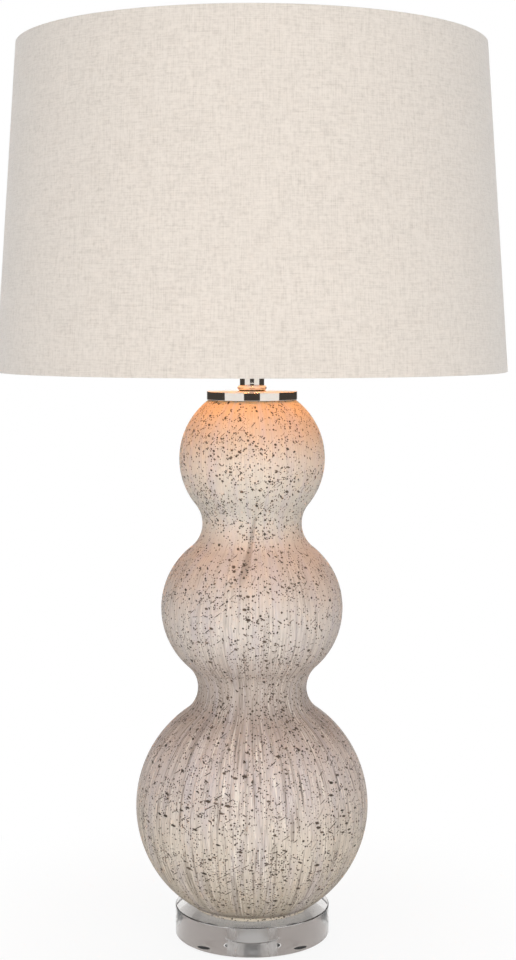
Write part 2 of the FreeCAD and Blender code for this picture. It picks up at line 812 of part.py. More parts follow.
# Harp saddle and harp.
def make_harp_saddle():
    body = new_body("harp_saddle")
    sketch = new_sketch(body, "saddle_outline", "XZ_Plane")
    half = s.saddle_thickness / 2
    outside = s.harp_leg_offset + half
    inside = s.harp_leg_offset - half
    bend = s.saddle_bend
    inner_bend = bend - s.saddle_thickness
    tongue_top = saddle_shoulder + s.tongue_height
    corners = [
        (bend - outside, saddle_low),
        (outside - bend, saddle_low),
        (outside, saddle_low + bend),
        (outside, tongue_top),
        (inside, tongue_top),
        (inside, saddle_top + inner_bend),
        (inside - inner_bend, saddle_top),
        (inner_bend - inside, saddle_top),
        (-inside, saddle_top + inner_bend),
        (-inside, tongue_top),
        (-outside, tongue_top),
        (-outside, saddle_low + bend),
    ]
    arcs = {1: (bend, 1), 5: (inner_bend, -1), 7: (inner_bend, -1), 11: (bend, 1)}
    draw_outline(sketch, corners, arcs)
    pad(body, sketch, "saddle_pad", s.saddle_width, both_ways=True)
    hole = new_sketch(body, "saddle_hole", "XY_Plane", saddle_low)
    draw_circle(hole, "saddle_hole", rod_hole)
    cut_through(body, hole, "saddle_hole_cut", s.saddle_thickness, reversed_way=True)
    tongues = new_sketch(body, "tongue_sides", "YZ_Plane")
    half_tongue = s.tongue_width / 2
    far = s.saddle_width
    above = tongue_top + s.saddle_thickness
    left_side = [
        (half_tongue, saddle_shoulder),
        (far, saddle_shoulder),
        (far, above),
        (half_tongue, above),
    ]
    draw_outline(tongues, left_side, prefix="front")
    right_side = [(-across, up) for across, up in left_side]
    draw_outline(tongues, right_side, prefix="rear")
    cut_through(body, tongues, "tongue_cut", s.harp_leg_offset * 4, both_ways=True)


def draw_harp_path(sketch):
    """The bent wire's centre line: legs, double-curved shoulders, straight sides and rounded top."""
    leg_x = s.harp_leg_offset.number
    side_x = s.harp_half_width.number
    curve = s.harp_shoulder_curve.number
    top_curve = s.harp_top_curve.number
    leg_low = (saddle_shoulder + s.harp_foot_height / 2).number
    leg_high = (saddle_shoulder + s.harp_leg_straight).number
    turn = math.acos(1 - (side_x - leg_x) / (2 * curve))
    side_low = leg_high + 2 * curve * math.sin(turn)
    wire_top = (fitter_seat - s.stud_collar_rise).number
    side_high = wire_top - top_curve
    normal = Vector(0, 0, 1)
    pieces = []

    def line(x0, y0, x1, y1):
        straight = Part.LineSegment(Vector(x0, y0, 0), Vector(x1, y1, 0))
        pieces.append((sketch.addGeometry(straight, False), 1, 2))

    def arc(x, y, radius, size, from_angle, to_angle, forwards):
        circle = Part.Circle(Vector(x, y, 0), normal, radius)
        geometry = sketch.addGeometry(Part.ArcOfCircle(circle, from_angle, to_angle), False)
        named_constraint(sketch, "bend%d" % geometry, size, "Radius", geometry)
        pieces.append((geometry, 1, 2) if forwards else (geometry, 2, 1))

    half_turn = math.pi
    line(-leg_x, leg_low, -leg_x, leg_high)
    arc(-leg_x - curve, leg_high, curve, s.harp_shoulder_curve, 0, turn, True)
    arc(curve - side_x, side_low, curve, s.harp_shoulder_curve, half_turn, half_turn + turn, False)
    line(-side_x, side_low, -side_x, side_high)
    arc(top_curve - side_x, side_high, top_curve, s.harp_top_curve, half_turn / 2, half_turn, False)
    line(top_curve - side_x, wire_top, side_x - top_curve, wire_top)
    arc(side_x - top_curve, side_high, top_curve, s.harp_top_curve, 0, half_turn / 2, False)
    line(side_x, side_high, side_x, side_low)
    arc(side_x - curve, side_low, curve, s.harp_shoulder_curve, -turn, 0, False)
    arc(leg_x + curve, leg_high, curve, s.harp_shoulder_curve, half_turn - turn, half_turn, True)
    line(leg_x, leg_high, leg_x, leg_low)
    for before, after in zip(pieces, pieces[1:]):
        joint = Sketcher.Constraint("Tangent", before[0], before[2], after[0], after[1])
        sketch.addConstraint(joint)
    left_leg, left_side, top = pieces[0][0], pieces[3][0], pieces[5][0]
    right_side, right_leg = pieces[7][0], pieces[10][0]
    low = saddle_shoulder + s.harp_foot_height / 2
    high = saddle_shoulder + s.harp_leg_straight
    pin_point(sketch, "left_foot", left_leg, 1, -s.harp_leg_offset, low)
    pin_point(sketch, "left_knee", left_leg, 2, -s.harp_leg_offset, high)
    pin_point(sketch, "right_foot", right_leg, 2, s.harp_leg_offset, low)
    pin_point(sketch, "right_knee", right_leg, 1, s.harp_leg_offset, high)
    named_constraint(sketch, "left_side", -s.harp_half_width, "DistanceX", -1, 1, left_side, 1)
    named_constraint(sketch, "right_side", s.harp_half_width, "DistanceX", -1, 1, right_side, 1)
    named_constraint(sketch, "top_up", fitter_seat - s.stud_collar_rise, "DistanceY", -1, 1, top, 1)


def make_harp_wire():
    body = new_body("harp_wire")
    path = new_sketch(body, "harp_path", "XZ_Plane")
    draw_harp_path(path)
    section = new_sketch(body, "harp_section", "XY_Plane", saddle_shoulder + s.harp_foot_height / 2)
    draw_circle(section, "harp_section", s.harp_wire_radius, -s.harp_leg_offset, ZERO)
    document.recompute()
    wire = body.newObject("PartDesign::AdditivePipe", "harp_bend")
    wire.Profile = section
    wire.Spine = (path, ["Edge%d" % number for number in range(1, 12)])
    wire.Transition = "Transformed"
    feet = new_sketch(body, "harp_feet", "XY_Plane", saddle_shoulder)
    draw_circle(feet, "left_foot", s.harp_foot_radius, -s.harp_leg_offset, ZERO)
    draw_circle(feet, "right_foot", s.harp_foot_radius, s.harp_leg_offset, ZERO)
    pad(body, feet, "harp_feet_pad", s.harp_foot_height)
    slots = new_sketch(body, "foot_slots", "XZ_Plane")
    half = s.saddle_thickness / 2 + s.harp_foot_slot_gap
    slot_top = saddle_shoulder + s.tongue_height + s.harp_foot_slot_gap
    for prefix, middle in (("left", -s.harp_leg_offset), ("right", s.harp_leg_offset)):
        slot_low = saddle_shoulder - s.harp_foot_slot_gap
        corners = [
            (middle - half, slot_low),
            (middle + half, slot_low),
            (middle + half, slot_top),
            (middle - half, slot_top),
        ]
        draw_outline(slots, corners, prefix=prefix)
    cut_through(body, slots, "foot_slot_cut", s.harp_foot_radius * 4, both_ways=True)


def make_harp_sleeve(label, side):
    bore = s.harp_foot_radius + s.sleeve_gap
    sleeve = ring_part(label, bore + s.sleeve_wall, bore, saddle_shoulder, saddle_shoulder + s.sleeve_height)
    place(sleeve, across=s.harp_leg_offset * side)


def make_harp_stud():
    wire_axis = fitter_seat - s.stud_collar_rise
    low = wire_axis - s.harp_wire_radius
    corners = [
        (ZERO, low),
        (s.stud_collar_radius, low),
        (s.stud_collar_radius, fitter_seat),
        (s.stud_radius, fitter_seat),
        (s.stud_radius, fitter_seat + s.stud_length),
        (ZERO, fitter_seat + s.stud_length),
    ]
    body = turned_part("harp_stud", corners)
    tip = [circle_at(s.stud_radius, fitter_seat + s.stud_length)]
    dress_edges(body, "Chamfer", "stud_tip", tip, s.rod_chamfer)
    channel = new_sketch(body, "stud_channel", "YZ_Plane")
    half = s.harp_wire_radius + s.thread_gap
    below = low - s.harp_wire_radius
    corners = [(half, below), (half, wire_axis), (-half, wire_axis), (-half, below)]
    draw_outline(channel, corners, {1: (HALF, 1)})
    cut_through(body, channel, "stud_channel_cut", s.stud_collar_radius * 4, both_ways=True)


# Socket.
def make_socket_cap():
    wall = s.socket_wall
    hub_top = saddle_top + s.socket_hub_height
    dome_top = hub_top + s.socket_cap_dome
    mouth = saddle_top + s.socket_cap_height
    dome_start = s.socket_cap_radius - s.socket_cap_dome
    corners = [
        (s.rod_radius + s.thread_gap, saddle_top),
        (s.socket_hub_radius, saddle_top),
        (s.socket_hub_radius, hub_top),
        (dome_start, hub_top),
        (s.socket_cap_radius, dome_top),
        (s.socket_cap_radius, mouth),
        (s.socket_cap_radius - wall, mouth),
        (s.socket_cap_radius - wall, dome_top),
        (dome_start, socket_floor),
        (s.rod_radius + s.thread_gap, socket_floor),
    ]
    curves = {3: (s.socket_cap_dome, 1), 7: (s.socket_cap_dome - wall, -1)}
    body = turned_part("socket_cap", corners, curves)
    hole = new_sketch(body, "set_screw_hole", "XZ_Plane")
    draw_circle(hole, "set_screw_hole", s.set_screw_radius, ZERO, set_screw_level())
    cut_through(body, hole, "set_screw_hole_cut", s.socket_hub_radius * 2)


def set_screw_level():
    return saddle_top + s.set_screw_head_radius + s.rod_gap


def make_set_screw():
    head_start = s.socket_hub_radius
    corners = [
        (ZERO, s.rod_radius + s.thread_gap),
        (s.set_screw_radius - s.thread_gap, s.rod_radius + s.thread_gap),
        (s.set_screw_radius - s.thread_gap, head_start),
        (s.set_screw_head_radius, head_start),
        (s.set_screw_head_radius, head_start + s.set_screw_head_height),
        (ZERO, head_start + s.set_screw_head_height),
    ]
    body = turned_part("socket_set_screw", corners)
    place(body, up=set_screw_level(), rotation=FreeCAD.Rotation(Vector(1, 0, 0), -90))


def cut_switch_slot(body, low):
    """A round-ended notch for the switch shaft, open at the lower edge, on the front side."""
    sketch = new_sketch(body, body.Label + "_slot", "XZ_Plane")
    half = s.switch_slot_radius
    corners = [(half, low), (half, switch_axis), (-half, switch_axis), (-half, low)]
    draw_outline(sketch, corners, {1: (HALF, 1)})
    cut_through(body, sketch, body.Label + "_slot_cut", reversed_way=True)


def make_socket_shell():
    outside = s.socket_cap_radius - s.socket_wall - s.socket_fit
    inside = outside - s.socket_shell_wall
    lip = s.socket_fit + s.socket_wall
    lip_low = shell_top - lip * 3
    corners = [
        (inside, shell_low),
        (outside, shell_low),
        (outside, lip_low),
        (outside + lip, lip_low + lip),
        (outside + lip, shell_top),
        (inside + lip, shell_top),
        (inside + lip, lip_low + lip),
        (inside, lip_low),
    ]
    body = turned_part("socket_shell", corners)
    cut_switch_slot(body, shell_low - s.socket_fit)
    liner_outside = inside - s.thread_gap
    liner_top = shell_top - s.liner_short
    liner = ring_part("socket_liner", liner_outside, liner_outside - s.liner_wall, shell_low, liner_top)
    cut_switch_slot(liner, shell_low - s.socket_fit)


def terminal_offset():
    return s.socket_body_radius - s.terminal_head_height


def make_socket_body():
    recess_top_level = rod_top + s.rod_gap
    boss = s.socket_cap_radius - s.socket_cap_dome - s.socket_fit
    corners = [
        (s.socket_body_recess_radius, socket_floor),
        (boss, socket_floor),
        (boss, body_shoulder),
        (s.socket_body_radius, body_shoulder),
        (s.socket_body_radius, body_top),
        (ZERO, body_top),
        (ZERO, recess_top_level),
        (s.socket_body_recess_radius, recess_top_level),
    ]
    body = turned_part("socket_body", corners)
    shaft_hole = new_sketch(body, "shaft_hole", "XZ_Plane")
    draw_circle(shaft_hole, "shaft_hole", s.switch_shaft_radius + s.switch_hole_gap, ZERO, switch_axis)
    cut_through(body, shaft_hole, "shaft_hole_cut", reversed_way=True)
    side = s.terminal_head_radius + s.rod_gap
    level = body_shoulder + s.terminal_height
    for name, way in (("right_terminal_cut", True), ("left_terminal_cut", False)):
        seat = new_sketch(body, name + "_face", "YZ_Plane", terminal_offset() * (1 if way else -1))
        draw_circle(seat, "seat", side, ZERO, level)
        cut_through(body, seat, name, reversed_way=way)


def make_terminal_screws():
    body = new_body("terminal_screws")
    level = body_shoulder + s.terminal_height
    for name, side in (("right_screw", 1), ("left_screw", -1)):
        sketch = new_sketch(body, name + "_face", "YZ_Plane", terminal_offset() * side)
        draw_circle(sketch, name, s.terminal_head_radius, ZERO, level)
        screw = pad(body, sketch, name + "_pad", s.terminal_head_height)
        screw.Reversed = side < 0


def make_socket_contacts():
    bore = s.thread_shell_bore
    outside = bore + s.thread_shell_wall
    floor = body_top + s.thread_shell_wall
    corners = [
        (s.thread_shell_hole, body_top),
        (outside, body_top),
        (outside, body_top + s.thread_shell_height),
        (bore, body_top + s.thread_shell_height),
        (bore, floor),
        (s.thread_shell_hole, floor),
    ]
    turned_part("socket_thread_shell", corners)
    corners = [
        (ZERO, body_top),
        (s.contact_radius, body_top),
        (s.tip_radius, tip_low),
        (ZERO, tip_low),
    ]
    turned_part("socket_contact", corners)


# Switch: both pieces turn about their own Z axis, which points to the front.
def make_switch():
    shaft_start = s.socket_body_radius - s.switch_shaft_inset
    shaft_end = shaft_start + s.switch_shaft_length
    knob_start = s.socket_cap_radius + s.switch_knob_clearance
    knob_end = knob_start + s.switch_knob_length
    frontwards = FreeCAD.Rotation(Vector(1, 0, 0), 90)
    shaft = turned_part(
        "switch_shaft",
        [
            (ZERO, shaft_start),
            (s.switch_shaft_radius, shaft_start),
            (s.switch_shaft_radius, shaft_end),
            (ZERO, shaft_end),
        ],
    )
    place(shaft, up=switch_axis, rotation=frontwards)
    hole = s.switch_shaft_radius + s.thread_gap
    taper = s.switch_flute_radius
    knob = turned_part(
        "switch_knob",
        [
            (hole, knob_start),
            (s.switch_knob_radius - taper, knob_start),
            (s.switch_knob_radius, knob_start + taper),
            (s.switch_knob_radius, knob_end - taper),
            (s.switch_knob_radius - taper, knob_end),
            (ZERO, knob_end),
            (ZERO, shaft_end + s.rod_gap),
            (hole, shaft_end + s.rod_gap),
        ],
    )
    flute = new_sketch(knob, "flute_outline", "XY_Plane")
    reach = s.switch_knob_radius + s.switch_flute_radius / 2
    draw_circle(flute, "flute", s.switch_flute_radius, reach, ZERO)
    cut = cut_through(knob, flute, "flute_cut", reversed_way=True)
    flutes = knob.newObject("PartDesign::PolarPattern", "flutes")
    flutes.Originals = [cut]
    flutes.Axis = (flute, ["N_Axis"])
    flutes.Angle = 360
    bind(flutes, "Occurrences", s.switch_flute_count)
    knob.Tip = flutes
    place(knob, up=switch_axis, rotation=frontwards)


# Lamp bulb.
insulator_low = tip_low + s.tip_height
bulb_cap_low = insulator_low + s.insulator_height
bulb_cap_top = bulb_cap_low + s.bulb_cap_height
globe_level = tip_low + s.globe_height


def make_bulb_end():
    corners = [(ZERO, tip_low), (s.tip_radius, tip_low), (s.tip_radius, insulator_low), (ZERO, insulator_low)]
    turned_part("bulb_contact", corners)
    corners = [
        (ZERO, insulator_low),
        (s.tip_radius, insulator_low),
        (s.insulator_radius, bulb_cap_low),
        (ZERO, bulb_cap_low),
    ]
    turned_part("bulb_insulator", corners)


def make_bulb_cap():
    opening = s.insulator_radius + s.bulb_running_gap
    wall = s.bulb_cap_wall
    slant = s.bulb_cap_radius - opening
    low = bulb_cap_low
    corners = [
        (opening - wall * 2, low + wall),
        (opening, low + wall),
        (s.bulb_cap_radius, low + slant),
        (s.bulb_cap_radius, bulb_cap_top),
        (s.bulb_cap_radius - wall, bulb_cap_top),
        (s.bulb_cap_radius - wall, low + slant + wall),
        (opening - wall, low + wall * 2),
        (opening - wall * 2, low + wall * 2),
    ]
    turned_part("bulb_cap", corners)


def make_bulb_glass():
    """A pear-shaped globe: a ball with a straight neck that runs onto it without a corner."""
    body = new_body("bulb_glass")
    sketch = new_sketch(body, "globe_outline", "XZ_Plane")
    neck_low = bulb_cap_top - s.bulb_neck_inset
    normal = Vector(0, 0, 1)
    centre = Vector(0, globe_level.number, 0)
    walls = []
    for name, radius, neck in (
        ("outer", s.globe_radius, s.bulb_neck_radius),
        ("inner", s.globe_radius - s.globe_wall, s.bulb_neck_radius - s.globe_wall),
    ):
        start = Vector(neck.number, bulb_cap_top.number, 0)
        low_end = Vector(neck.number, neck_low.number, 0)
        reach = (centre - start).Length
        lean = math.atan2(centre.y - start.y, centre.x - start.x)
        swing = math.asin(radius.number / reach)
        run = math.sqrt(reach**2 - radius.number**2)
        heading = lean - swing
        touch = start + Vector(math.cos(heading), math.sin(heading), 0) * run
        touch_angle = math.atan2(touch.y - centre.y, touch.x - centre.x)
        line = sketch.addGeometry(Part.LineSegment(start, touch), False)
        circle = Part.Circle(centre, normal, radius.number)
        ball = sketch.addGeometry(Part.ArcOfCircle(circle, touch_angle, math.pi / 2), False)
        named_constraint(sketch, name + "_ball", radius, "Radius", ball)
        pin_point(sketch, name + "_centre", ball, 3, ZERO, globe_level)
        neck_line = sketch.addGeometry(Part.LineSegment(low_end, start), False)
        pin_point(sketch, name + "_neck", neck_line, 1, neck, neck_low)
        pin_point(sketch, name + "_collar", neck_line, 2, neck, bulb_cap_top)
        sketch.addConstraint(Sketcher.Constraint("Coincident", neck_line, 2, line, 1))
        sketch.addConstraint(Sketcher.Constraint("Tangent", line, 2, ball, 1))
        sketch.addConstraint(Sketcher.Constraint("PointOnObject", ball, 2, -2))
        walls.append((neck_line, ball, low_end, centre + Vector(0, radius.number, 0)))
    outer, inner = walls
    foot = sketch.addGeometry(Part.LineSegment(inner[2], outer[2]), False)
    crown = sketch.addGeometry(Part.LineSegment(outer[3], inner[3]), False)
    sketch.addConstraint(Sketcher.Constraint("Coincident", foot, 1, inner[0], 1))
    sketch.addConstraint(Sketcher.Constraint("Coincident", foot, 2, outer[0], 1))
    sketch.addConstraint(Sketcher.Constraint("Coincident", crown, 1, outer[1], 2))
    sketch.addConstraint(Sketcher.Constraint("Coincident", crown, 2, inner[1], 2))
    revolve(body, sketch, "globe_turned")


def make_bulb_inside():
    """The stem's flared foot is fused to the inside of the globe's neck."""
    flare = s.bulb_neck_radius - s.globe_wall
    stem_low = bulb_cap_top - s.bulb_neck_inset
    stem_rim = stem_low + s.stem_rim_height
    stem_top = stem_low + s.stem_height
    corners = [
        (ZERO, stem_low),
        (flare, stem_low),
        (flare, stem_rim),
        (s.stem_radius, stem_rim + s.stem_flare_height),
        (s.stem_radius, stem_top),
        (ZERO, stem_top),
    ]
    turned_part("bulb_stem", corners)

    body = new_body("bulb_filament")
    path = new_sketch(body, "filament_path", "XZ_Plane")
    foot = s.stem_radius / 2
    wide = s.filament_half_width
    high = stem_top + s.filament_height
    post_top = stem_top + s.filament_post_height
    points = [
        (-foot, stem_top),
        (-foot, post_top),
        (-wide, high),
        (wide, high),
        (foot, post_top),
        (foot, stem_top),
    ]
    vectors = [Vector(across.number, up.number, 0) for across, up in points]
    last = len(points) - 1
    for index in range(last):
        sketch_line = Part.LineSegment(vectors[index], vectors[index + 1])
        path.addGeometry(sketch_line, False)
    for index in range(last):
        pin_point(path, "wire%d" % index, index, 1, *points[index])
        if index:
            path.addConstraint(Sketcher.Constraint("Coincident", index - 1, 2, index, 1))
    pin_point(path, "wire_end", last - 1, 2, *points[last])
    section = new_sketch(body, "filament_section", "XY_Plane", stem_top)
    half = s.filament_wire_radius
    corners = [(half - foot, half), (-half - foot, half), (-half - foot, -half), (half - foot, -half)]
    draw_outline(section, corners)
    document.recompute()
    wire = body.newObject("PartDesign::AdditivePipe", "filament_wire")
    wire.Profile = section
    wire.Spine = (path, ["Edge%d" % (index + 1) for index in range(last)])
    wire.Transition = "Right corner"


# Shade.
def shade_radius_at(level, inset):
    """Radius of the shade's cone at a level, less what lies outside."""
    share = (level - shade_low) / s.shade_height
    return s.shade_bottom_radius - (s.shade_bottom_radius - s.shade_top_radius) * share - inset


def make_shade_cloths():
    both = s.fabric_thickness + s.lining_thickness
    for label, outer, inner in (
        ("shade_fabric", ZERO, s.fabric_thickness),
        ("shade_lining", s.fabric_thickness, both),
    ):
        corners = [
            (s.shade_bottom_radius - inner, shade_low),
            (s.shade_bottom_radius - outer, shade_low),
            (s.shade_top_radius - outer, shade_top),
            (s.shade_top_radius - inner, shade_top),
        ]
        turned_part(label, corners)


def ring_section(middle, level, radius):
    """Eight-sided section of a ring wire that measures the wire's diameter across its flats."""
    half = radius * (math.sqrt(2) - 1)
    return [
        (middle + half, level - radius),
        (middle + radius, level - half),
        (middle + radius, level + half),
        (middle + half, level + radius),
        (middle - half, level + radius),
        (middle - radius, level + half),
        (middle - radius, level - half),
        (middle - half, level - radius),
    ]


def ring_middle(level):
    inset = s.fabric_thickness + s.lining_thickness + s.thread_gap + s.ring_wire_radius
    return shade_radius_at(level, inset)


def make_shade_rings():
    low_level = shade_low + s.ring_inset + s.ring_wire_radius
    low_top = low_level + s.ring_wire_radius
    turned_part("shade_bottom_ring", ring_section(ring_middle(low_top), low_level, s.ring_wire_radius))

    level = shade_top - s.ring_inset - s.ring_wire_radius
    turned_part("shade_top_ring", ring_section(ring_middle(shade_top), level, s.ring_wire_radius))
    hole = s.stud_radius + s.fitter_hole_gap
    ring_part("fitter_washer", s.fitter_washer_radius, hole, fitter_seat, fitter_top)


def make_shade_arms():
    """Three wires from the fitter washer's rim to the underside of the top ring."""
    body = new_body("shade_arms")
    middle = ring_middle(shade_top)
    start = s.fitter_washer_radius
    arm_level = fitter_seat + s.fitter_washer_height / 2
    arm_high = shade_top - s.ring_inset - s.ring_wire_radius * 2
    bend = s.arm_bend
    path = new_sketch(body, "arm_path", "YZ_Plane")
    points = [
        (start, arm_level),
        (middle - bend, arm_level),
        (middle, arm_level + bend),
        (middle, arm_high),
    ]
    vectors = [Vector(across.number, up.number, 0) for across, up in points]
    run = path.addGeometry(Part.LineSegment(vectors[0], vectors[1]), False)
    elbow = path.addGeometry(arc_between(vectors[1], vectors[2], bend.number, 1), False)
    rise = path.addGeometry(Part.LineSegment(vectors[2], vectors[3]), False)
    path.addConstraint(Sketcher.Constraint("Tangent", run, 2, elbow, 1))
    path.addConstraint(Sketcher.Constraint("Tangent", elbow, 2, rise, 1))
    named_constraint(path, "elbow_curve", bend, "Radius", elbow)
    pin_point(path, "arm_start", run, 1, *points[0])
    pin_point(path, "arm_end", rise, 2, *points[3])
    path.addConstraint(Sketcher.Constraint("Horizontal", run))
    path.addConstraint(Sketcher.Constraint("Vertical", rise))
    section = new_sketch(body, "arm_section", "XZ_Plane", -start)
    draw_circle(section, "arm_section", s.arm_wire_radius, ZERO, arm_level)
    document.recompute()
    arm = body.newObject("PartDesign::AdditivePipe", "arm")
    arm.Profile = section
    arm.Spine = (path, ["Edge1", "Edge2", "Edge3"])
    document.recompute()
    arms = body.newObject("PartDesign::PolarPattern", "arms")
    arms.Originals = [arm]
    arms.Axis = (path, ["V_Axis"])
    arms.Angle = 360
    arms.Occurrences = 3
    body.Tip = arms


# Finial.
def make_finial():
    bore = s.stud_radius + s.finial_bore_gap
    base_high = fitter_top + s.finial_base_height
    ring_part("finial_base", s.finial_base_radius, bore, fitter_top, base_high)
    stud_end = fitter_seat + s.stud_length + s.finial_end_gap
    stem_high = base_high + s.finial_stem_height
    ball = s.finial_ball_radius
    ball_level = stem_high + leg(ball, s.finial_stem_radius)
    corners = [
        (bore, base_high),
        (s.finial_base_radius, base_high),
        (s.finial_stem_radius, base_high + (s.finial_base_radius - s.finial_stem_radius)),
        (s.finial_stem_radius, stem_high),
        (ball, ball_level),
        (ZERO, ball_level + ball),
        (ZERO, stud_end),
        (bore, stud_end),
    ]
    turned_part("finial_knob", corners, {3: (ball, 1), 4: (ball, 1)})


make_bumper_feet()
make_acrylic_base()
make_cord_bushing()
make_rod_and_fasteners()
make_gaskets(make_glass_body())
make_vase_cap()
make_neck()
make_harp_saddle()
make_harp_wire()
make_harp_sleeve("harp_sleeve_left", -1)
make_harp_sleeve("harp_sleeve_right", 1)
make_harp_stud()
make_socket_cap()
make_set_screw()
make_socket_shell()
make_socket_body()
make_terminal_screws()
make_socket_contacts()
make_switch()
make_bulb_end()
make_bulb_cap()
make_bulb_glass()
make_bulb_inside()
make_shade_cloths()
make_shade_rings()
make_shade_arms()
make_finial()
document.recompute()

# Check every object, then write one file for each sub-part.
faults = []
for thing in document.Objects:
    if "Invalid" in thing.State or "Error" in thing.State:
        faults.append("%s: %s" % (thing.Label, thing.State))
bodies = [thing for thing in document.Objects if thing.TypeId == "PartDesign::Body"]
for body in bodies:
    if body.Shape.isNull() or not body.Shape.isValid() or not body.Shape.Solids:
        faults.append("%s has no valid solid" % body.Label)
if faults:
    raise RuntimeError("; ".join(faults))

os.makedirs("parts", exist_ok=True)
for body in bodies:
    body.Shape.exportStep(os.path.join("parts", body.Label + ".step"))
    print("%-20s %d solids %12.1f mm3" % (body.Label, len(body.Shape.Solids), body.Shape.Volume))
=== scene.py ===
"""Table lamp: clear base, blown-glass gourd body, polished neck, lit lamp bulb and linen drum shade."""

import logging
import math
from collections.abc import Callable, Iterable, Mapping, Sequence
from dataclasses import dataclass
from enum import Enum

import bmesh
import bpy
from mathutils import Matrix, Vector, noise


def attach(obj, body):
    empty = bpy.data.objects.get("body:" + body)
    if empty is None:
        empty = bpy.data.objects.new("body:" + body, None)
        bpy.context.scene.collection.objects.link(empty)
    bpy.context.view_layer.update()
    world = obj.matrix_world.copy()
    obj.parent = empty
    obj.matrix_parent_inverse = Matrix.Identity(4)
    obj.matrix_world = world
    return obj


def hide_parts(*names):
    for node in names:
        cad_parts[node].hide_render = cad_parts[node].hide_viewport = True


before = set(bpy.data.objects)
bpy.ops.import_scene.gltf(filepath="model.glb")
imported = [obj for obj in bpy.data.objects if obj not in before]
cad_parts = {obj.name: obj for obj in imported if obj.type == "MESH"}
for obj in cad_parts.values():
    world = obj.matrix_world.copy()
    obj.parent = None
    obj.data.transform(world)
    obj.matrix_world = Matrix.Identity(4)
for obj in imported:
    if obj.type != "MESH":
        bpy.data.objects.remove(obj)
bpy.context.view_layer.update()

LOG = logging.getLogger("lamp")
MM = 0.001
WHOLE_TURN = 2 * math.pi
ON_AXIS = 1e-6
LONGEST_CUT = 0.45

Outline = list[tuple[float, float]]
Colour = tuple[float, float, float]
Feed = float | tuple[float, ...] | bpy.types.NodeSocket


class Body(Enum):
    """The bodies that new pieces ride on, by their names in the frame."""

    STAND = "stand"
    SHADE = "shade"


# Mesh making.


def soften(outline: Outline, radius: float, steps: int = 4, sharpest: float = 12.0) -> Outline:
    """Rounds the corners of a closed outline.

    Args:
        outline: The (radius, height) corners in order.
        radius: How much is rounded, in metres.
        steps: How many short runs replace each corner.
        sharpest: Corners that turn less than this many degrees stay as they are.

    Returns:
        The outline with its corners rounded. Corners on the axis stay.
    """
    rounded: Outline = []
    count = len(outline)
    for index, corner in enumerate(outline):
        here = Vector(corner)
        before = Vector(outline[index - 1]) - here
        after = Vector(outline[(index + 1) % count]) - here
        turn = math.pi - before.angle(after) if before.length and after.length else 0.0
        if corner[0] < ON_AXIS or turn < math.radians(sharpest):
            rounded.append(corner)
            continue
        cut = min(radius * math.tan(turn / 2), LONGEST_CUT * before.length, LONGEST_CUT * after.length)
        start = here + before.normalized() * cut
        end = here + after.normalized() * cut
        for step in range(steps + 1):
            part = step / steps
            point = start * (1 - part) ** 2 + here * 2 * part * (1 - part) + end * part**2
            rounded.append((point.x, point.y))
    return rounded


def arc_points(
    across: float, up: float, radius: float, first: float, last: float, steps: int
) -> Outline:
    """Points along an arc in the half plane of an outline.

    Args:
        across: The arc's centre, measured from the axis.
        up: The arc's centre, measured upwards.
        radius: The arc's radius.
        first: The first angle in degrees, from the outward direction.
        last: The last angle in degrees.
        steps: How many runs the arc is divided into.

    Returns:
        The points, both ends included.
    """
    points: Outline = []
    for step in range(steps + 1):
        angle = math.radians(first + (last - first) * step / steps)
        points.append((across + radius * math.cos(angle), up + radius * math.sin(angle)))
    return points


def new_piece(name: str, shape: bmesh.types.BMesh, crease: float = 35.0) -> bpy.types.Object:
    """Turns a finished bmesh into an object with smooth shading and sharp creases.

    Args:
        name: The piece's name.
        shape: The mesh that was built, which is freed here.
        crease: Edges that turn more than this many degrees stay sharp.

    Returns:
        The new object, linked to the scene.
    """
    bmesh.ops.recalc_face_normals(shape, faces=shape.faces)
    mesh = bpy.data.meshes.new(name)
    shape.to_mesh(mesh)
    shape.free()
    mesh.shade_smooth()
    mesh.set_sharp_from_angle(angle=math.radians(crease))
    piece = bpy.data.objects.new(name, mesh)
    bpy.context.scene.collection.objects.link(piece)
    return piece


def add_turned(
    shape: bmesh.types.BMesh,
    outline: Outline,
    segments: int,
    centre: tuple[float, float] = (0.0, 0.0),
) -> None:
    """Turns a closed outline round an upright axis and adds it to a mesh.

    Args:
        shape: The mesh that takes the faces.
        outline: The (radius, height) corners in order.
        segments: How many steps go round.
        centre: Where the upright axis stands.
    """
    rings: list[list[bmesh.types.BMVert]] = []
    for radius, height in outline:
        if radius < ON_AXIS:
            rings.append([shape.verts.new((centre[0], centre[1], height))])
            continue
        ring = []
        for step in range(segments):
            angle = WHOLE_TURN * step / segments
            across = centre[0] + radius * math.cos(angle)
            back = centre[1] + radius * math.sin(angle)
            ring.append(shape.verts.new((across, back, height)))
        rings.append(ring)
    for low, high in zip(rings, rings[1:] + rings[:1]):
        for step in range(segments):
            following = (step + 1) % segments
            corners = [
                low[step % len(low)],
                low[following % len(low)],
                high[following % len(high)],
                high[step % len(high)],
            ]
            unlike = list(dict.fromkeys(corners))
            if len(unlike) > 2:
                shape.faces.new(unlike)


def turned_piece(name: str, outline: Outline, segments: int = 96) -> bpy.types.Object:
    """A piece turned round the lamp's own axis.

    Args:
        name: The piece's name.
        outline: The (radius, height) corners in order, in metres.
        segments: How many steps go round.

    Returns:
        The new object.
    """
    shape = bmesh.new()
    add_turned(shape, outline, segments)
    return new_piece(name, shape)


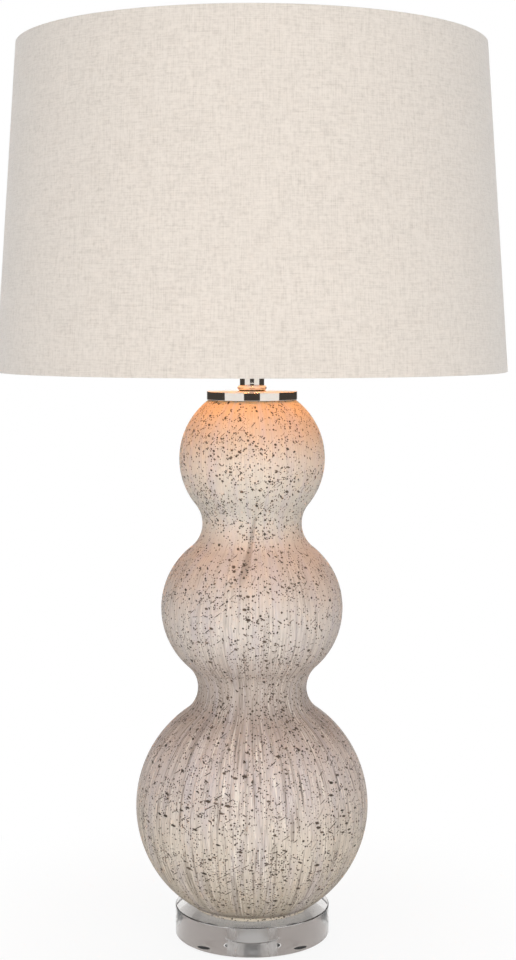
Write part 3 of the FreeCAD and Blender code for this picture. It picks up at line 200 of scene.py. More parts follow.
def add_tube(
    shape: bmesh.types.BMesh, path: Sequence[Vector], radius: float, sides: int = 16
) -> None:
    """Adds a round wire along a path, closed at both ends.

    Args:
        shape: The mesh that takes the faces.
        path: The points of the wire's centre line.
        radius: The wire's radius.
        sides: How many sides the wire has.
    """
    last = len(path) - 1
    direction = (path[1] - path[0]).normalized()
    side = direction.orthogonal().normalized()
    rings = []
    for index, point in enumerate(path):
        onward = (path[min(index + 1, last)] - path[max(index - 1, 0)]).normalized()
        side = (side - onward * side.dot(onward)).normalized()
        other = onward.cross(side)
        ring = []
        for step in range(sides):
            angle = WHOLE_TURN * step / sides
            offset = side * math.cos(angle) + other * math.sin(angle)
            ring.append(shape.verts.new(point + offset * radius))
        rings.append(ring)
    for low, high in zip(rings, rings[1:]):
        for step in range(sides):
            following = (step + 1) % sides
            shape.faces.new((low[step], low[following], high[following], high[step]))
    shape.faces.new(rings[0])
    shape.faces.new(rings[-1])


def cut_away(piece: bpy.types.Object, cutter: bpy.types.Object) -> None:
    """Cuts one piece's shape out of another and removes the cutter.

    Args:
        piece: The piece that is cut.
        cutter: The shape that is taken away.
    """
    cut = piece.modifiers.new("cut", "BOOLEAN")
    cut.operation = "DIFFERENCE"
    cut.solver = "EXACT"
    cut.object = cutter
    bpy.context.view_layer.update()
    shown = piece.evaluated_get(bpy.context.evaluated_depsgraph_get())
    whole = bpy.data.meshes.new_from_object(shown)
    piece.modifiers.clear()
    piece.data = whole
    whole.shade_smooth()
    whole.set_sharp_from_angle(angle=math.radians(30))
    bpy.data.objects.remove(cutter)


# Node wiring.


class Wiring:
    """Adds nodes to one node tree and joins them."""

    def __init__(self, tree: bpy.types.NodeTree) -> None:
        """Keeps the tree that is wired."""
        self.tree = tree

    def feed(self, socket: bpy.types.NodeSocket, value: Feed) -> None:
        """Sets a socket to a value, or joins another node's output to it.

        Args:
            socket: The input that is fed.
            value: A number, a place, a colour with or without its alpha, or an output.
        """
        if isinstance(value, bpy.types.NodeSocket):
            self.tree.links.new(value, socket)
            return
        if socket.type == "RGBA" and len(value) == 3:
            value = (*value, 1.0)
        socket.default_value = value

    def add(
        self, kind: str, feeds: Mapping[str | int, Feed] | None = None, **settings: object
    ) -> bpy.types.Node:
        """Adds a node.

        Args:
            kind: Blender's name for the node.
            feeds: What goes into its inputs, by name or number.
            **settings: The node's own settings.

        Returns:
            The new node.
        """
        node = self.tree.nodes.new(kind)
        for setting, value in settings.items():
            setattr(node, setting, value)
        for key, value in (feeds or {}).items():
            self.feed(node.inputs[key], value)
        return node

    def math(self, operation: str, *values: Feed, clamp: bool = False) -> bpy.types.NodeSocket:
        """One sum, difference or other step of arithmetic."""
        node = self.add("ShaderNodeMath", dict(enumerate(values)), operation=operation, use_clamp=clamp)
        return node.outputs[0]

    def times(self, first: Feed, second: Feed) -> bpy.types.NodeSocket:
        """The product of two numbers."""
        return self.math("MULTIPLY", first, second)

    def blend(self, factor: Feed, first: Feed, second: Feed) -> bpy.types.NodeSocket:
        """Mixes two colours, and returns the mixed one."""
        feeds = {0: factor, 6: first, 7: second}
        return self.add("ShaderNodeMix", feeds, data_type="RGBA").outputs[2]

    def layer(self, share: Feed, under: Feed, over: Feed) -> bpy.types.NodeSocket:
        """Mixes two surfaces, with the given share of the second one."""
        return self.add("ShaderNodeMixShader", {0: share, 1: under, 2: over}).outputs[0]

    def object_place(self) -> bpy.types.NodeSocket:
        """The place on the object, in its own metres."""
        return self.add("ShaderNodeTexCoord").outputs["Object"]

    def fade(
        self, value: Feed, low: Feed, high: Feed, to_low: Feed = 0.0, to_high: Feed = 1.0
    ) -> bpy.types.NodeSocket:
        """Maps a value smoothly from one range to another, without going past its ends."""
        feeds = {0: value, 1: low, 2: high, 3: to_low, 4: to_high}
        return self.add("ShaderNodeMapRange", feeds, interpolation_type="SMOOTHSTEP").outputs[0]

    def noise(
        self, vector: Feed, scale: Feed = 1.0, detail: float = 2.0, rough: float = 0.5, bent: float = 0.0
    ) -> bpy.types.NodeSocket:
        """Soft noise between 0 and 1 at a place, with its forms bent out of line where that is asked."""
        feeds = {"Vector": vector, "Scale": scale, "Detail": detail, "Roughness": rough, "Distortion": bent}
        return self.add("ShaderNodeTexNoise", feeds).outputs[0]

    def relief(self, height: Feed, distance: float, strength: float = 1.0) -> bpy.types.NodeSocket:
        """A normal that is tilted by a height in units of the given distance."""
        feeds = {"Height": height, "Distance": distance, "Strength": strength}
        return self.add("ShaderNodeBump", feeds).outputs[0]

    def place(self, group: bpy.types.NodeTree, **values: Feed) -> bpy.types.Node:
        """Places a shared group and sets its named inputs (an underscore stands for a space)."""
        node = self.add("ShaderNodeGroup", node_tree=group)
        for name, value in values.items():
            self.feed(node.inputs[name.replace("_", " ")], value)
        return node


class Effect(Enum):
    """The shared surface effects, each one a node group that is built once."""

    TURNED_PLACE = "turned_place"
    HANDLED = "handled_surface"
    SPECKS = "scattered_specks"
    WEAVE = "cross_weave"
    THREAD = "screw_thread"


FLOAT = "NodeSocketFloat"
VECTOR = "NodeSocketVector"


class Effects:
    """Builds each shared effect on its first use and hands out the same group afterwards."""

    def __init__(self) -> None:
        """Starts with no group built."""
        self.built: dict[Effect, bpy.types.NodeTree] = {}
        self.makers: dict[Effect, Callable[[], bpy.types.NodeTree]] = {
            Effect.TURNED_PLACE: self.turned_place,
            Effect.HANDLED: self.handled_surface,
            Effect.SPECKS: self.scattered_specks,
            Effect.WEAVE: self.cross_weave,
            Effect.THREAD: self.screw_thread,
        }

    def get(self, effect: Effect) -> bpy.types.NodeTree:
        """The group of one effect."""
        if effect not in self.built:
            self.built[effect] = self.makers[effect]()
        return self.built[effect]

    @staticmethod
    def start(
        effect: Effect, inputs: Mapping[str, tuple[str, float | None]], outputs: Mapping[str, str]
    ) -> tuple[bpy.types.NodeTree, Wiring, bpy.types.Node, bpy.types.Node]:
        """Makes an empty group with its sockets.

        Args:
            effect: The effect that the group is for.
            inputs: Socket type and starting value by input name.
            outputs: Socket type by output name.

        Returns:
            The group, its wiring, and its input and output nodes.
        """
        tree = bpy.data.node_groups.new(effect.value, "ShaderNodeTree")
        for name, (kind, value) in inputs.items():
            socket = tree.interface.new_socket(name, in_out="INPUT", socket_type=kind)
            if value is not None:
                socket.default_value = value
        for name, kind in outputs.items():
            tree.interface.new_socket(name, in_out="OUTPUT", socket_type=kind)
        wiring = Wiring(tree)
        return tree, wiring, wiring.add("NodeGroupInput"), wiring.add("NodeGroupOutput")

    def turned_place(self) -> bpy.types.NodeTree:
        """Place on a turned surface: round the axis and up it, each with its own scale, without a seam.

        Returns:
            The group.
        """
        inputs = {"Around": (FLOAT, 10.0), "Up": (FLOAT, 10.0), "Lean": (FLOAT, 0.0)}
        outputs = {"Vector": VECTOR, "Angle": FLOAT, "Height": FLOAT}
        tree, wiring, start, end = self.start(Effect.TURNED_PLACE, inputs, outputs)
        place = wiring.object_place()
        parts = wiring.add("ShaderNodeSeparateXYZ", {0: place}).outputs
        angle = wiring.math("ARCTAN2", parts["X"], wiring.times(parts["Y"], -1.0))
        leaning = wiring.math("MULTIPLY_ADD", parts["Z"], start.outputs["Lean"], angle)
        around = start.outputs["Around"]
        across = wiring.times(wiring.math("SINE", leaning), around)
        back = wiring.times(wiring.math("COSINE", leaning), around)
        up = wiring.times(parts["Z"], start.outputs["Up"])
        vector = wiring.add("ShaderNodeCombineXYZ", {0: across, 1: back, 2: up}).outputs[0]
        wiring.feed(end.inputs["Vector"], vector)
        wiring.feed(end.inputs["Angle"], angle)
        wiring.feed(end.inputs["Height"], parts["Z"])
        return tree

    def handled_surface(self) -> bpy.types.NodeTree:
        """Uneven gloss from handling, with fine lines in it.

        Returns:
            The group.
        """
        inputs = {
            "Scale": (FLOAT, 60.0),
            "Gloss": (FLOAT, 0.2),
            "Spread": (FLOAT, 0.1),
            "Around": (FLOAT, 1.0),
            "Up": (FLOAT, 900.0),
        }
        outputs = {"Roughness": FLOAT, "Height": FLOAT, "Tone": FLOAT}
        tree, wiring, start, end = self.start(Effect.HANDLED, inputs, outputs)
        place = wiring.object_place()
        cloud = wiring.noise(place, start.outputs["Scale"], 4.0, 0.6)
        scales = {name: start.outputs[name] for name in ("Around", "Up")}
        turned = wiring.place(self.get(Effect.TURNED_PLACE), **scales)
        lines = wiring.noise(turned.outputs["Vector"], 1.0, 3.0, 0.6)
        both = wiring.math("MULTIPLY_ADD", lines, 0.4, wiring.times(cloud, 0.6))
        centred = wiring.math("SUBTRACT", both, 0.5)
        spread, gloss = start.outputs["Spread"], start.outputs["Gloss"]
        rough = wiring.math("MULTIPLY_ADD", centred, spread, gloss, clamp=True)
        wiring.feed(end.inputs["Roughness"], rough)
        wiring.feed(end.inputs["Height"], lines)
        wiring.feed(end.inputs["Tone"], cloud)
        return tree

    def scattered_specks(self) -> bpy.types.NodeTree:
        """Specks scattered in cells: which places they cover and how dark each one is.

        Returns:
            The group.
        """
        inputs = {"Vector": (VECTOR, None), "Share": (FLOAT, 0.5), "Size": (FLOAT, 0.2)}
        outputs = {"Mask": FLOAT, "Tone": FLOAT}
        tree, wiring, start, end = self.start(Effect.SPECKS, inputs, outputs)
        cells = wiring.add("ShaderNodeTexVoronoi", {"Vector": start.outputs["Vector"], "Scale": 1.0})
        chance = wiring.add("ShaderNodeSeparateColor", {0: cells.outputs["Color"]}).outputs
        present = wiring.math("LESS_THAN", chance[0], start.outputs["Share"])
        radius = wiring.times(start.outputs["Size"], wiring.fade(chance[1], 0.0, 1.0, 0.45, 1.0))
        ragged = wiring.math("SUBTRACT", wiring.noise(start.outputs["Vector"], 9.0, 1.0), 0.5)
        edge = wiring.math("MULTIPLY_ADD", ragged, radius, cells.outputs["Distance"])
        inside = wiring.fade(edge, wiring.times(radius, 0.75), radius, 1.0, 0.0)
        wiring.feed(end.inputs["Mask"], wiring.times(inside, present))
        wiring.feed(end.inputs["Tone"], chance[2])
        return tree

    def cross_weave(self) -> bpy.types.NodeTree:
        """Plain weave on a turned cloth: threads round and up, of uneven thickness, with slubs.

        Returns:
            The group.
        """
        inputs = {"Threads Around": (FLOAT, 2200.0), "Threads Up": (FLOAT, 1600.0), "Slub": (FLOAT, 0.5)}
        outputs = {"Tone": FLOAT, "Height": FLOAT}
        tree, wiring, start, end = self.start(Effect.WEAVE, inputs, outputs)
        turned = self.get(Effect.TURNED_PLACE)
        place = wiring.place(turned, Around=1.0, Up=1.0)
        warp = wiring.times(place.outputs["Angle"], start.outputs["Threads Around"])
        warp = wiring.math("DIVIDE", warp, 2.0)
        weft = wiring.times(place.outputs["Height"], start.outputs["Threads Up"])
        weft = wiring.times(weft, math.pi)
        ribs = wiring.math("ABSOLUTE", wiring.math("SINE", warp))
        rows = wiring.math("ABSOLUTE", wiring.math("SINE", weft))
        uneven_warp = wiring.place(turned, Around=300.0, Up=60.0)
        uneven_weft = wiring.place(turned, Around=14.0, Up=1250.0)
        patches = wiring.place(turned, Around=62.0, Up=330.0)
        warp_tone = wiring.noise(uneven_warp.outputs["Vector"], 1.0, 2.0, 0.6)
        weft_tone = wiring.noise(uneven_weft.outputs["Vector"], 1.0, 2.0, 0.6)
        patch_tone = wiring.noise(patches.outputs["Vector"], 1.0, 3.0, 0.6)
        thick = [wiring.fade(tone, 0.62, 0.74) for tone in (warp_tone, weft_tone)]
        slubs = wiring.math("MAXIMUM", *thick)
        threads = wiring.times(wiring.math("ADD", ribs, rows), 0.5)
        tone = wiring.math("ADD", wiring.math("ADD", warp_tone, weft_tone), patch_tone)
        tone = wiring.math("DIVIDE", tone, 3.0)
        slubbed = wiring.times(slubs, start.outputs["Slub"])
        wiring.feed(end.inputs["Tone"], wiring.math("MULTIPLY_ADD", slubbed, -0.12, tone))
        wiring.feed(end.inputs["Height"], wiring.math("ADD", wiring.math("ADD", threads, slubbed), tone))
        return tree

    def screw_thread(self) -> bpy.types.NodeTree:
        """The ridges of a screw thread round the lamp's axis.

        Returns:
            The group.
        """
        inputs = {"Turns Up": (FLOAT, 1000.0)}
        tree, wiring, start, end = self.start(Effect.THREAD, inputs, {"Height": FLOAT})
        place = wiring.place(self.get(Effect.TURNED_PLACE), Around=1.0, Up=1.0)
        climb = wiring.times(place.outputs["Height"], start.outputs["Turns Up"])
        climb = wiring.times(climb, math.pi)
        half_angle = wiring.times(place.outputs["Angle"], 0.5)
        wave = wiring.math("SINE", wiring.math("SUBTRACT", climb, half_angle))
        wiring.feed(end.inputs["Height"], wiring.math("ABSOLUTE", wave))
        return tree


EFFECTS = Effects()


# Finishes.


MADE: dict["Finish", bpy.types.Material] = {}


@dataclass(frozen=True)
class Finish:
    """A surface finish. Each kind fills in its own nodes."""

    name: str
    colour: Colour

    def material(self) -> bpy.types.Material:
        """The finish's material, made on its first use."""
        if self in MADE:
            return MADE[self]
        made = MADE[self] = bpy.data.materials.new(self.name)
        made.use_nodes = True
        wiring = Wiring(made.node_tree)
        made.node_tree.nodes.clear()
        shader = wiring.add("ShaderNodeBsdfPrincipled", {"Base Color": self.colour})
        surface = wiring.add("ShaderNodeOutputMaterial").inputs["Surface"]
        wiring.feed(surface, self.fill(wiring, shader))
        return made

    def fill(self, wiring: Wiring, shader: bpy.types.Node) -> bpy.types.NodeSocket:
        """Wires the finish.

        Args:
            wiring: The material's wiring.
            shader: The Principled BSDF.

        Returns:
            The output that is the finished surface.
        """
        raise NotImplementedError

    @staticmethod
    def handle(
        wiring: Wiring, shader: bpy.types.Node, **values: float
    ) -> bpy.types.bpy_prop_collection:
        """Gives a shader uneven gloss from handling.

        Args:
            wiring: The material's wiring.
            shader: The Principled BSDF.
            **values: The inputs of the handled surface.

        Returns:
            The outputs of the handled surface.
        """
        surface = wiring.place(EFFECTS.get(Effect.HANDLED), **values).outputs
        wiring.feed(shader.inputs["Roughness"], surface["Roughness"])
        return surface

    @staticmethod
    def uneven(wiring: Wiring, tone: Feed, colour: Colour, share: float) -> bpy.types.NodeSocket:
        """A colour that is dimmed to a share of itself where the tone is low."""
        return wiring.blend(tone, tuple(part * share for part in colour), colour)


@dataclass(frozen=True)
class MetalFinish(Finish):
    """Plated or bare metal, from mirror-bright to drawn or turned."""

    gloss: float = 0.06
    spread: float = 0.05
    around: float = 2.0
    up: float = 900.0
    depth: float = 0.00001
    turns_up: float = 0.0
    dimmest: float = 0.88
    thread_depth: float = 0.3

    def fill(self, wiring: Wiring, shader: bpy.types.Node) -> bpy.types.NodeSocket:
        """Wires uneven gloss, fine lines and, where it is cut, the thread.

        Args:
            wiring: The material's wiring.
            shader: The Principled BSDF.

        Returns:
            The output that is the finished surface.
        """
        drawn = {"Around": self.around, "Up": self.up}
        surface = self.handle(wiring, shader, Scale=90.0, Gloss=self.gloss, Spread=self.spread, **drawn)
        shader.inputs["Metallic"].default_value = 1.0
        tint = self.uneven(wiring, surface["Tone"], self.colour, self.dimmest)
        wiring.feed(shader.inputs["Base Color"], tint)
        height = surface["Height"]
        depth = self.depth
        if self.turns_up:
            height = wiring.place(EFFECTS.get(Effect.THREAD), Turns_Up=self.turns_up).outputs["Height"]
            depth = self.thread_depth / self.turns_up
        wiring.feed(shader.inputs["Normal"], wiring.relief(height, depth))
        return shader.outputs[0]


@dataclass(frozen=True)
class MouldedFinish(Finish):
    """Moulded or coated plastic, rubber or card."""

    gloss: float = 0.4
    spread: float = 0.15
    mottle: float = 0.1
    depth: float = 0.00003
    grain: float = 600.0

    def fill(self, wiring: Wiring, shader: bpy.types.Node) -> bpy.types.NodeSocket:
        """Wires mottled colour, uneven gloss and a fine moulded grain.

        Args:
            wiring: The material's wiring.
            shader: The Principled BSDF.

        Returns:
            The output that is the finished surface.
        """
        surface = self.handle(wiring, shader, Scale=70.0, Gloss=self.gloss, Spread=self.spread)
        tint = self.uneven(wiring, surface["Tone"], self.colour, 1 - self.mottle)
        wiring.feed(shader.inputs["Base Color"], tint)
        grain = wiring.noise(wiring.object_place(), self.grain, 3.0, 0.6)
        wiring.feed(shader.inputs["Normal"], wiring.relief(grain, self.depth))
        return shader.outputs[0]


@dataclass(frozen=True)
class ClearFinish(Finish):
    """Clear solid plastic or glass that light goes through."""

    bending: float = 1.49
    gloss: float = 0.0
    spread: float = 0.02
    depth: float = 0.000004
    matt_radius: float = 0.0
    matt_gloss: float = 0.4
    light_through: float = 0.85

    def fill(self, wiring: Wiring, shader: bpy.types.Node) -> bpy.types.NodeSocket:
        """Wires a clear body that throws only a light shadow.

        Args:
            wiring: The material's wiring.
            shader: The Principled BSDF.

        Returns:
            The output that is the finished surface.
        """
        shader.inputs["Transmission Weight"].default_value = 1.0
        shader.inputs["IOR"].default_value = self.bending
        polish = {"Gloss": self.gloss, "Spread": self.spread}
        surface = self.handle(wiring, shader, Scale=40.0, Around=2.0, Up=500.0, **polish)
        if self.matt_radius:
            feeds = {0: wiring.object_place(), 1: (1.0, 1.0, 0.0)}
            level = wiring.add("ShaderNodeVectorMath", feeds, operation="MULTIPLY").outputs[0]
            away = wiring.add("ShaderNodeVectorMath", {0: level}, operation="LENGTH").outputs["Value"]
            bore = wiring.math("LESS_THAN", away, self.matt_radius)
            rough = wiring.math("MAXIMUM", surface["Roughness"], wiring.times(bore, self.matt_gloss))
            wiring.feed(shader.inputs["Roughness"], rough)
        wiring.feed(shader.inputs["Normal"], wiring.relief(surface["Height"], self.depth))
        shadow = wiring.add("ShaderNodeLightPath").outputs["Is Shadow Ray"]
        clear = wiring.add("ShaderNodeBsdfTransparent", {0: self.colour}).outputs[0]
        return wiring.layer(wiring.times(shadow, self.light_through), shader.outputs[0], clear)


@dataclass(frozen=True)
class SpeckledGlassFinish(Finish):
    """Milky blown glass with drawn vertical streaks and dark specks, with painted shadow, painted shade and
    painted warm light in its colours by height.
    """

    # Colours by height in metres. The dark band at 0.0355 to 0.040, just above the foot lip, is painted
    # shadow in the groove there. The dark, brown stop at 0.215 on top of the lowest bulb is partly the
    # glass's own tan and partly painted shade where the bulb above keeps light off. The amber stops at 0.47
    # and 0.50 are painted warm light from the lamp bulb, lightest at the mouth against the cap's shadow.
    tints_with_painted_light: tuple[tuple[float, Colour], ...] = (
        (0.034, (0.64, 0.57, 0.46)),
        (0.0355, (0.27, 0.225, 0.175)),
        (0.040, (0.48, 0.42, 0.335)),
        (0.10, (0.62, 0.55, 0.465)),
        (0.165, (0.60, 0.52, 0.475)),
        (0.215, (0.425, 0.35, 0.305)),
        (0.245, (0.48, 0.41, 0.36)),
        (0.30, (0.61, 0.55, 0.495)),
        (0.35, (0.52, 0.45, 0.39)),
        (0.395, (0.58, 0.535, 0.465)),
        (0.44, (0.58, 0.53, 0.455)),
        (0.47, (0.54, 0.455, 0.355)),
        (0.50, (0.64, 0.47, 0.265)),
    )
    lilac: Colour = (0.50, 0.45, 0.46)
    pale: Colour = (0.80, 0.74, 0.65)
    taupe: Colour = (0.185, 0.15, 0.125)
    speck_dark: Colour = (0.022, 0.014, 0.010)
    speck_light: Colour = (0.15, 0.105, 0.078)
    dashes: tuple[tuple[float, float, float, float, float], ...] = (
        (14.0, 280.0, 5.0, 0.26, 0.40),
        (30.0, 105.0, -16.0, 0.36, 0.26),
        (19.0, 190.0, 12.0, 0.20, 0.30),
    )
    grains: tuple[tuple[float, float, float], ...] = (
        (270.0, 0.36, 0.34),
        (390.0, 0.58, 0.38),
        (560.0, 0.60, 0.42),
    )
    ramp_stretch: float = 2.0
    lilac_share: float = 0.55
    fold_share: float = 0.45
    pale_share: float = 0.70
    streak_share: float = 0.88
    fine_share: float = 0.35
    smear_share: float = 0.45
    speck_share: float = 0.95
    specular: float = 0.22
    relief_depth: float = 0.8 * MM

    def fill(self, wiring: Wiring, shader: bpy.types.Node) -> bpy.types.NodeSocket:
        """Wires the streaks, the specks and the shallow relief that both leave.

        Args:
            wiring: The material's wiring.
            shader: The Principled BSDF.

        Returns:
            The output that is the finished surface.
        """
        turned = EFFECTS.get(Effect.TURNED_PLACE)
        wide = wiring.place(turned, Around=9.0, Up=15.0)
        folds = wiring.place(turned, Around=30.0, Up=17.0)
        medium = wiring.place(turned, Around=58.0, Up=34.0)
        fine = wiring.place(turned, Around=120.0, Up=75.0)
        wide_tone = wiring.noise(wide.outputs["Vector"], 1.0, 3.0, 0.55)
        fold_tone = wiring.noise(folds.outputs["Vector"], 1.0, 3.0, 0.6, 0.5)
        medium_tone = wiring.noise(medium.outputs["Vector"], 1.0, 3.0, 0.65, 0.35)
        fine_tone = wiring.noise(fine.outputs["Vector"], 1.0, 3.0, 0.7)
        height = wide.outputs["Height"]
        drawn = wiring.fade(height, 0.19, 0.40, 1.0, 0.22)
        drawn = wiring.times(drawn, wiring.fade(height, 0.034, 0.046, 0.1, 1.0))
        # The height ramp carries painted shadow, painted shade and painted warm light along with the glass's
        # own colours.
        ramp = wiring.add("ShaderNodeValToRGB", {0: wiring.times(height, self.ramp_stretch)})
        self.set_tints_with_painted_light(ramp.color_ramp)

        lilac = wiring.times(wiring.fade(wide_tone, 0.46, 0.70), self.lilac_share)
        tint = wiring.blend(lilac, ramp.outputs[0], self.lilac)
        folded = wiring.times(wiring.fade(fold_tone, 0.50, 0.66), drawn)
        tint = wiring.blend(wiring.times(folded, self.fold_share), tint, self.taupe)
        light = wiring.times(wiring.fade(medium_tone, 0.54, 0.68), drawn)
        tint = wiring.blend(wiring.times(light, self.pale_share), tint, self.pale)
        dark = wiring.times(wiring.fade(medium_tone, 0.46, 0.34), drawn)
        dark = wiring.times(dark, wiring.fade(fold_tone, 0.42, 0.62, 0.25, 1.0))
        tint = wiring.blend(wiring.times(dark, self.streak_share), tint, self.taupe)
        fine_dark = wiring.fade(fine_tone, 0.52, 0.74, 0.0, self.fine_share)
        tint = wiring.blend(fine_dark, tint, self.taupe)
        smears = wiring.place(turned, Around=17.0, Up=42.0, Lean=-7.0).outputs["Vector"]
        smear = wiring.place(EFFECTS.get(Effect.SPECKS), Vector=smears, Share=0.22, Size=0.2).outputs["Mask"]
        tint = wiring.blend(wiring.times(smear, self.smear_share), tint, self.taupe)
        # Painted shade: the crease at the front of the upper waist is darkened in colour.
        tint = wiring.blend(self.painted_crease_shade(wiring, wide), tint, self.taupe)

        mask, tone = self.specks(wiring)
        speck = wiring.blend(tone, self.speck_dark, self.speck_light)
        tint = wiring.blend(wiring.times(mask, self.speck_share), tint, speck)
        wiring.feed(shader.inputs["Base Color"], tint)
        wiring.feed(shader.inputs["Roughness"], wiring.fade(medium_tone, 0.3, 0.7, 0.58, 0.72))
        shader.inputs["IOR"].default_value = 1.5
        shader.inputs["Specular IOR Level"].default_value = self.specular
        ridges = wiring.math("ADD", medium_tone, wiring.times(fold_tone, 1.5))
        raised = wiring.math("MULTIPLY_ADD", mask, 0.35, wiring.times(ridges, drawn))
        wiring.feed(shader.inputs["Normal"], wiring.relief(raised, self.relief_depth, 0.8))
        return shader.outputs[0]

    @staticmethod
    def painted_crease_shade(wiring: Wiring, turned: bpy.types.Node) -> bpy.types.NodeSocket:
        """How much painted shade darkens the glass along the soft fold at the front of the upper waist.

        Args:
            wiring: The material's wiring.
            turned: A placed group of the turned surface.

        Returns:
            The share of the painted shade's colour.
        """
        feeds = {0: turned.outputs["Height"], 1: 0.332, 2: 0.398}
        part = wiring.add("ShaderNodeMapRange", feeds, clamp=False).outputs[0]
        bearing = wiring.times(turned.outputs["Angle"], 180 / math.pi)
        middle = wiring.math("MULTIPLY_ADD", part, 13.0, -8.5)
        apart = wiring.math("ABSOLUTE", wiring.math("SUBTRACT", bearing, middle))
        width = wiring.math("MULTIPLY_ADD", part, -3.0, 5.5)
        across = wiring.fade(wiring.math("DIVIDE", apart, width), 0.35, 1.0, 0.48, 0.0)
        along = wiring.times(wiring.fade(part, 0.0, 0.25), wiring.fade(part, 0.8, 1.05, 1.0, 0.0))
        return wiring.times(across, along)

    def set_tints_with_painted_light(self, ramp: bpy.types.ColorRamp) -> None:
        """Fills a colour ramp whose length stands for half a metre of height.

        Args:
            ramp: The ramp, with its first two stops.
        """
        ramp.interpolation = "EASE"
        for index, (height, shade) in enumerate(self.tints_with_painted_light):
            position = height * self.ramp_stretch
            if index < 2:
                stop = ramp.elements[index]
                stop.position = position
            else:
                stop = ramp.elements.new(position)
            stop.color = (*shade, 1.0)

    def specks(self, wiring: Wiring) -> tuple[bpy.types.NodeSocket, bpy.types.NodeSocket]:
        """All the specks together.

        Args:
            wiring: The material's wiring.

        Returns:
            Where the specks are, and how light each one is.
        """
        group = EFFECTS.get(Effect.SPECKS)
        turned = EFFECTS.get(Effect.TURNED_PLACE)
        place = wiring.object_place()
        patches = wiring.noise(place, 34.0, 3.0, 0.6)
        crowd = wiring.fade(patches, 0.34, 0.64, 0.30, 1.0)
        layers: list[tuple[bpy.types.NodeSocket, Feed, float]] = []
        for scale, share, size in self.grains:
            spot = wiring.add("ShaderNodeVectorMath", {0: place, 3: scale}, operation="SCALE").outputs[0]
            layers.append((spot, wiring.times(crowd, share), size))
        for around, up, lean, share, size in self.dashes:
            slanted = wiring.place(turned, Around=around, Up=up, Lean=lean).outputs["Vector"]
            layers.append((slanted, wiring.times(crowd, share), size))
        mask: Feed = 0.0
        tone: Feed = 0.0
        for spot, share, size in layers:
            speck = wiring.place(group, Vector=spot, Share=share, Size=size).outputs
            newer = wiring.math("GREATER_THAN", speck["Mask"], mask)
            tone = wiring.math("MULTIPLY_ADD", newer, speck["Tone"], tone)
            mask = wiring.math("MAXIMUM", speck["Mask"], mask)
        return mask, wiring.math("MULTIPLY", tone, 0.8, clamp=True)


@dataclass(frozen=True)
class LinenFinish(Finish):
    """Oatmeal linen, laminated to the shade's lining."""

    shadow: Colour = (0.58, 0.53, 0.475)
    threads_around: float = 2200.0
    threads_up: float = 1600.0
    see_through: float = 0.15
    sheen: float = 0.7
    relief_depth: float = 0.18 * MM

    def fill(self, wiring: Wiring, shader: bpy.types.Node) -> bpy.types.NodeSocket:
        """Wires the woven colour, its relief and a little light through the cloth.

        Args:
            wiring: The material's wiring.
            shader: The Principled BSDF.

        Returns:
            The output that is the finished surface.
        """
        threads = {"Threads_Around": self.threads_around, "Threads_Up": self.threads_up}
        weave = wiring.place(EFFECTS.get(Effect.WEAVE), Slub=0.5, **threads)
        tone = wiring.fade(weave.outputs["Tone"], 0.22, 0.62)
        tint = wiring.blend(tone, self.shadow, self.colour)
        wiring.feed(shader.inputs["Base Color"], tint)
        shader.inputs["Roughness"].default_value = 0.9
        shader.inputs["Diffuse Roughness"].default_value = 1.0
        shader.inputs["Sheen Weight"].default_value = self.sheen
        shader.inputs["Sheen Roughness"].default_value = 0.5
        normal = wiring.relief(weave.outputs["Height"], self.relief_depth, 0.7)
        wiring.feed(shader.inputs["Normal"], normal)
        through = wiring.add("ShaderNodeBsdfTranslucent", {"Color": tint, "Normal": normal}).outputs[0]
        return wiring.layer(self.see_through, shader.outputs[0], through)


@dataclass(frozen=True)
class LiningFinish(Finish):
    """White styrene sheet that lets some light through."""

    see_through: float = 0.2
    dimmest: float = 0.96

    def fill(self, wiring: Wiring, shader: bpy.types.Node) -> bpy.types.NodeSocket:
        """Wires a satin sheet with a little light through it.

        Args:
            wiring: The material's wiring.
            shader: The Principled BSDF.

        Returns:
            The output that is the finished surface.
        """
        surface = self.handle(wiring, shader, Scale=18.0, Gloss=0.5, Spread=0.2, Around=40.0, Up=12.0)
        tint = self.uneven(wiring, surface["Tone"], self.colour, self.dimmest)
        wiring.feed(shader.inputs["Base Color"], tint)
        through = wiring.add("ShaderNodeBsdfTranslucent", {"Color": tint}).outputs[0]
        return wiring.layer(self.see_through, shader.outputs[0], through)


@dataclass(frozen=True)
class GlowFinish(Finish):
    """Something that gives light, such as the frosted globe or the hot wire."""

    glow: Colour = (1.0, 0.5, 0.2)
    strength: float = 20.0
    dimmest: float = 0.93

    def fill(self, wiring: Wiring, shader: bpy.types.Node) -> bpy.types.NodeSocket:
        """Wires the glow, a little uneven over the surface.

        Args:
            wiring: The material's wiring.
            shader: The Principled BSDF.

        Returns:
            The output that is the finished surface.
        """
        surface = self.handle(wiring, shader, Scale=50.0, Gloss=0.35, Spread=0.1)
        glow = self.uneven(wiring, surface["Tone"], self.glow, self.dimmest)
        wiring.feed(shader.inputs["Emission Color"], glow)
        shader.inputs["Emission Strength"].default_value = self.strength
        return shader.outputs[0]


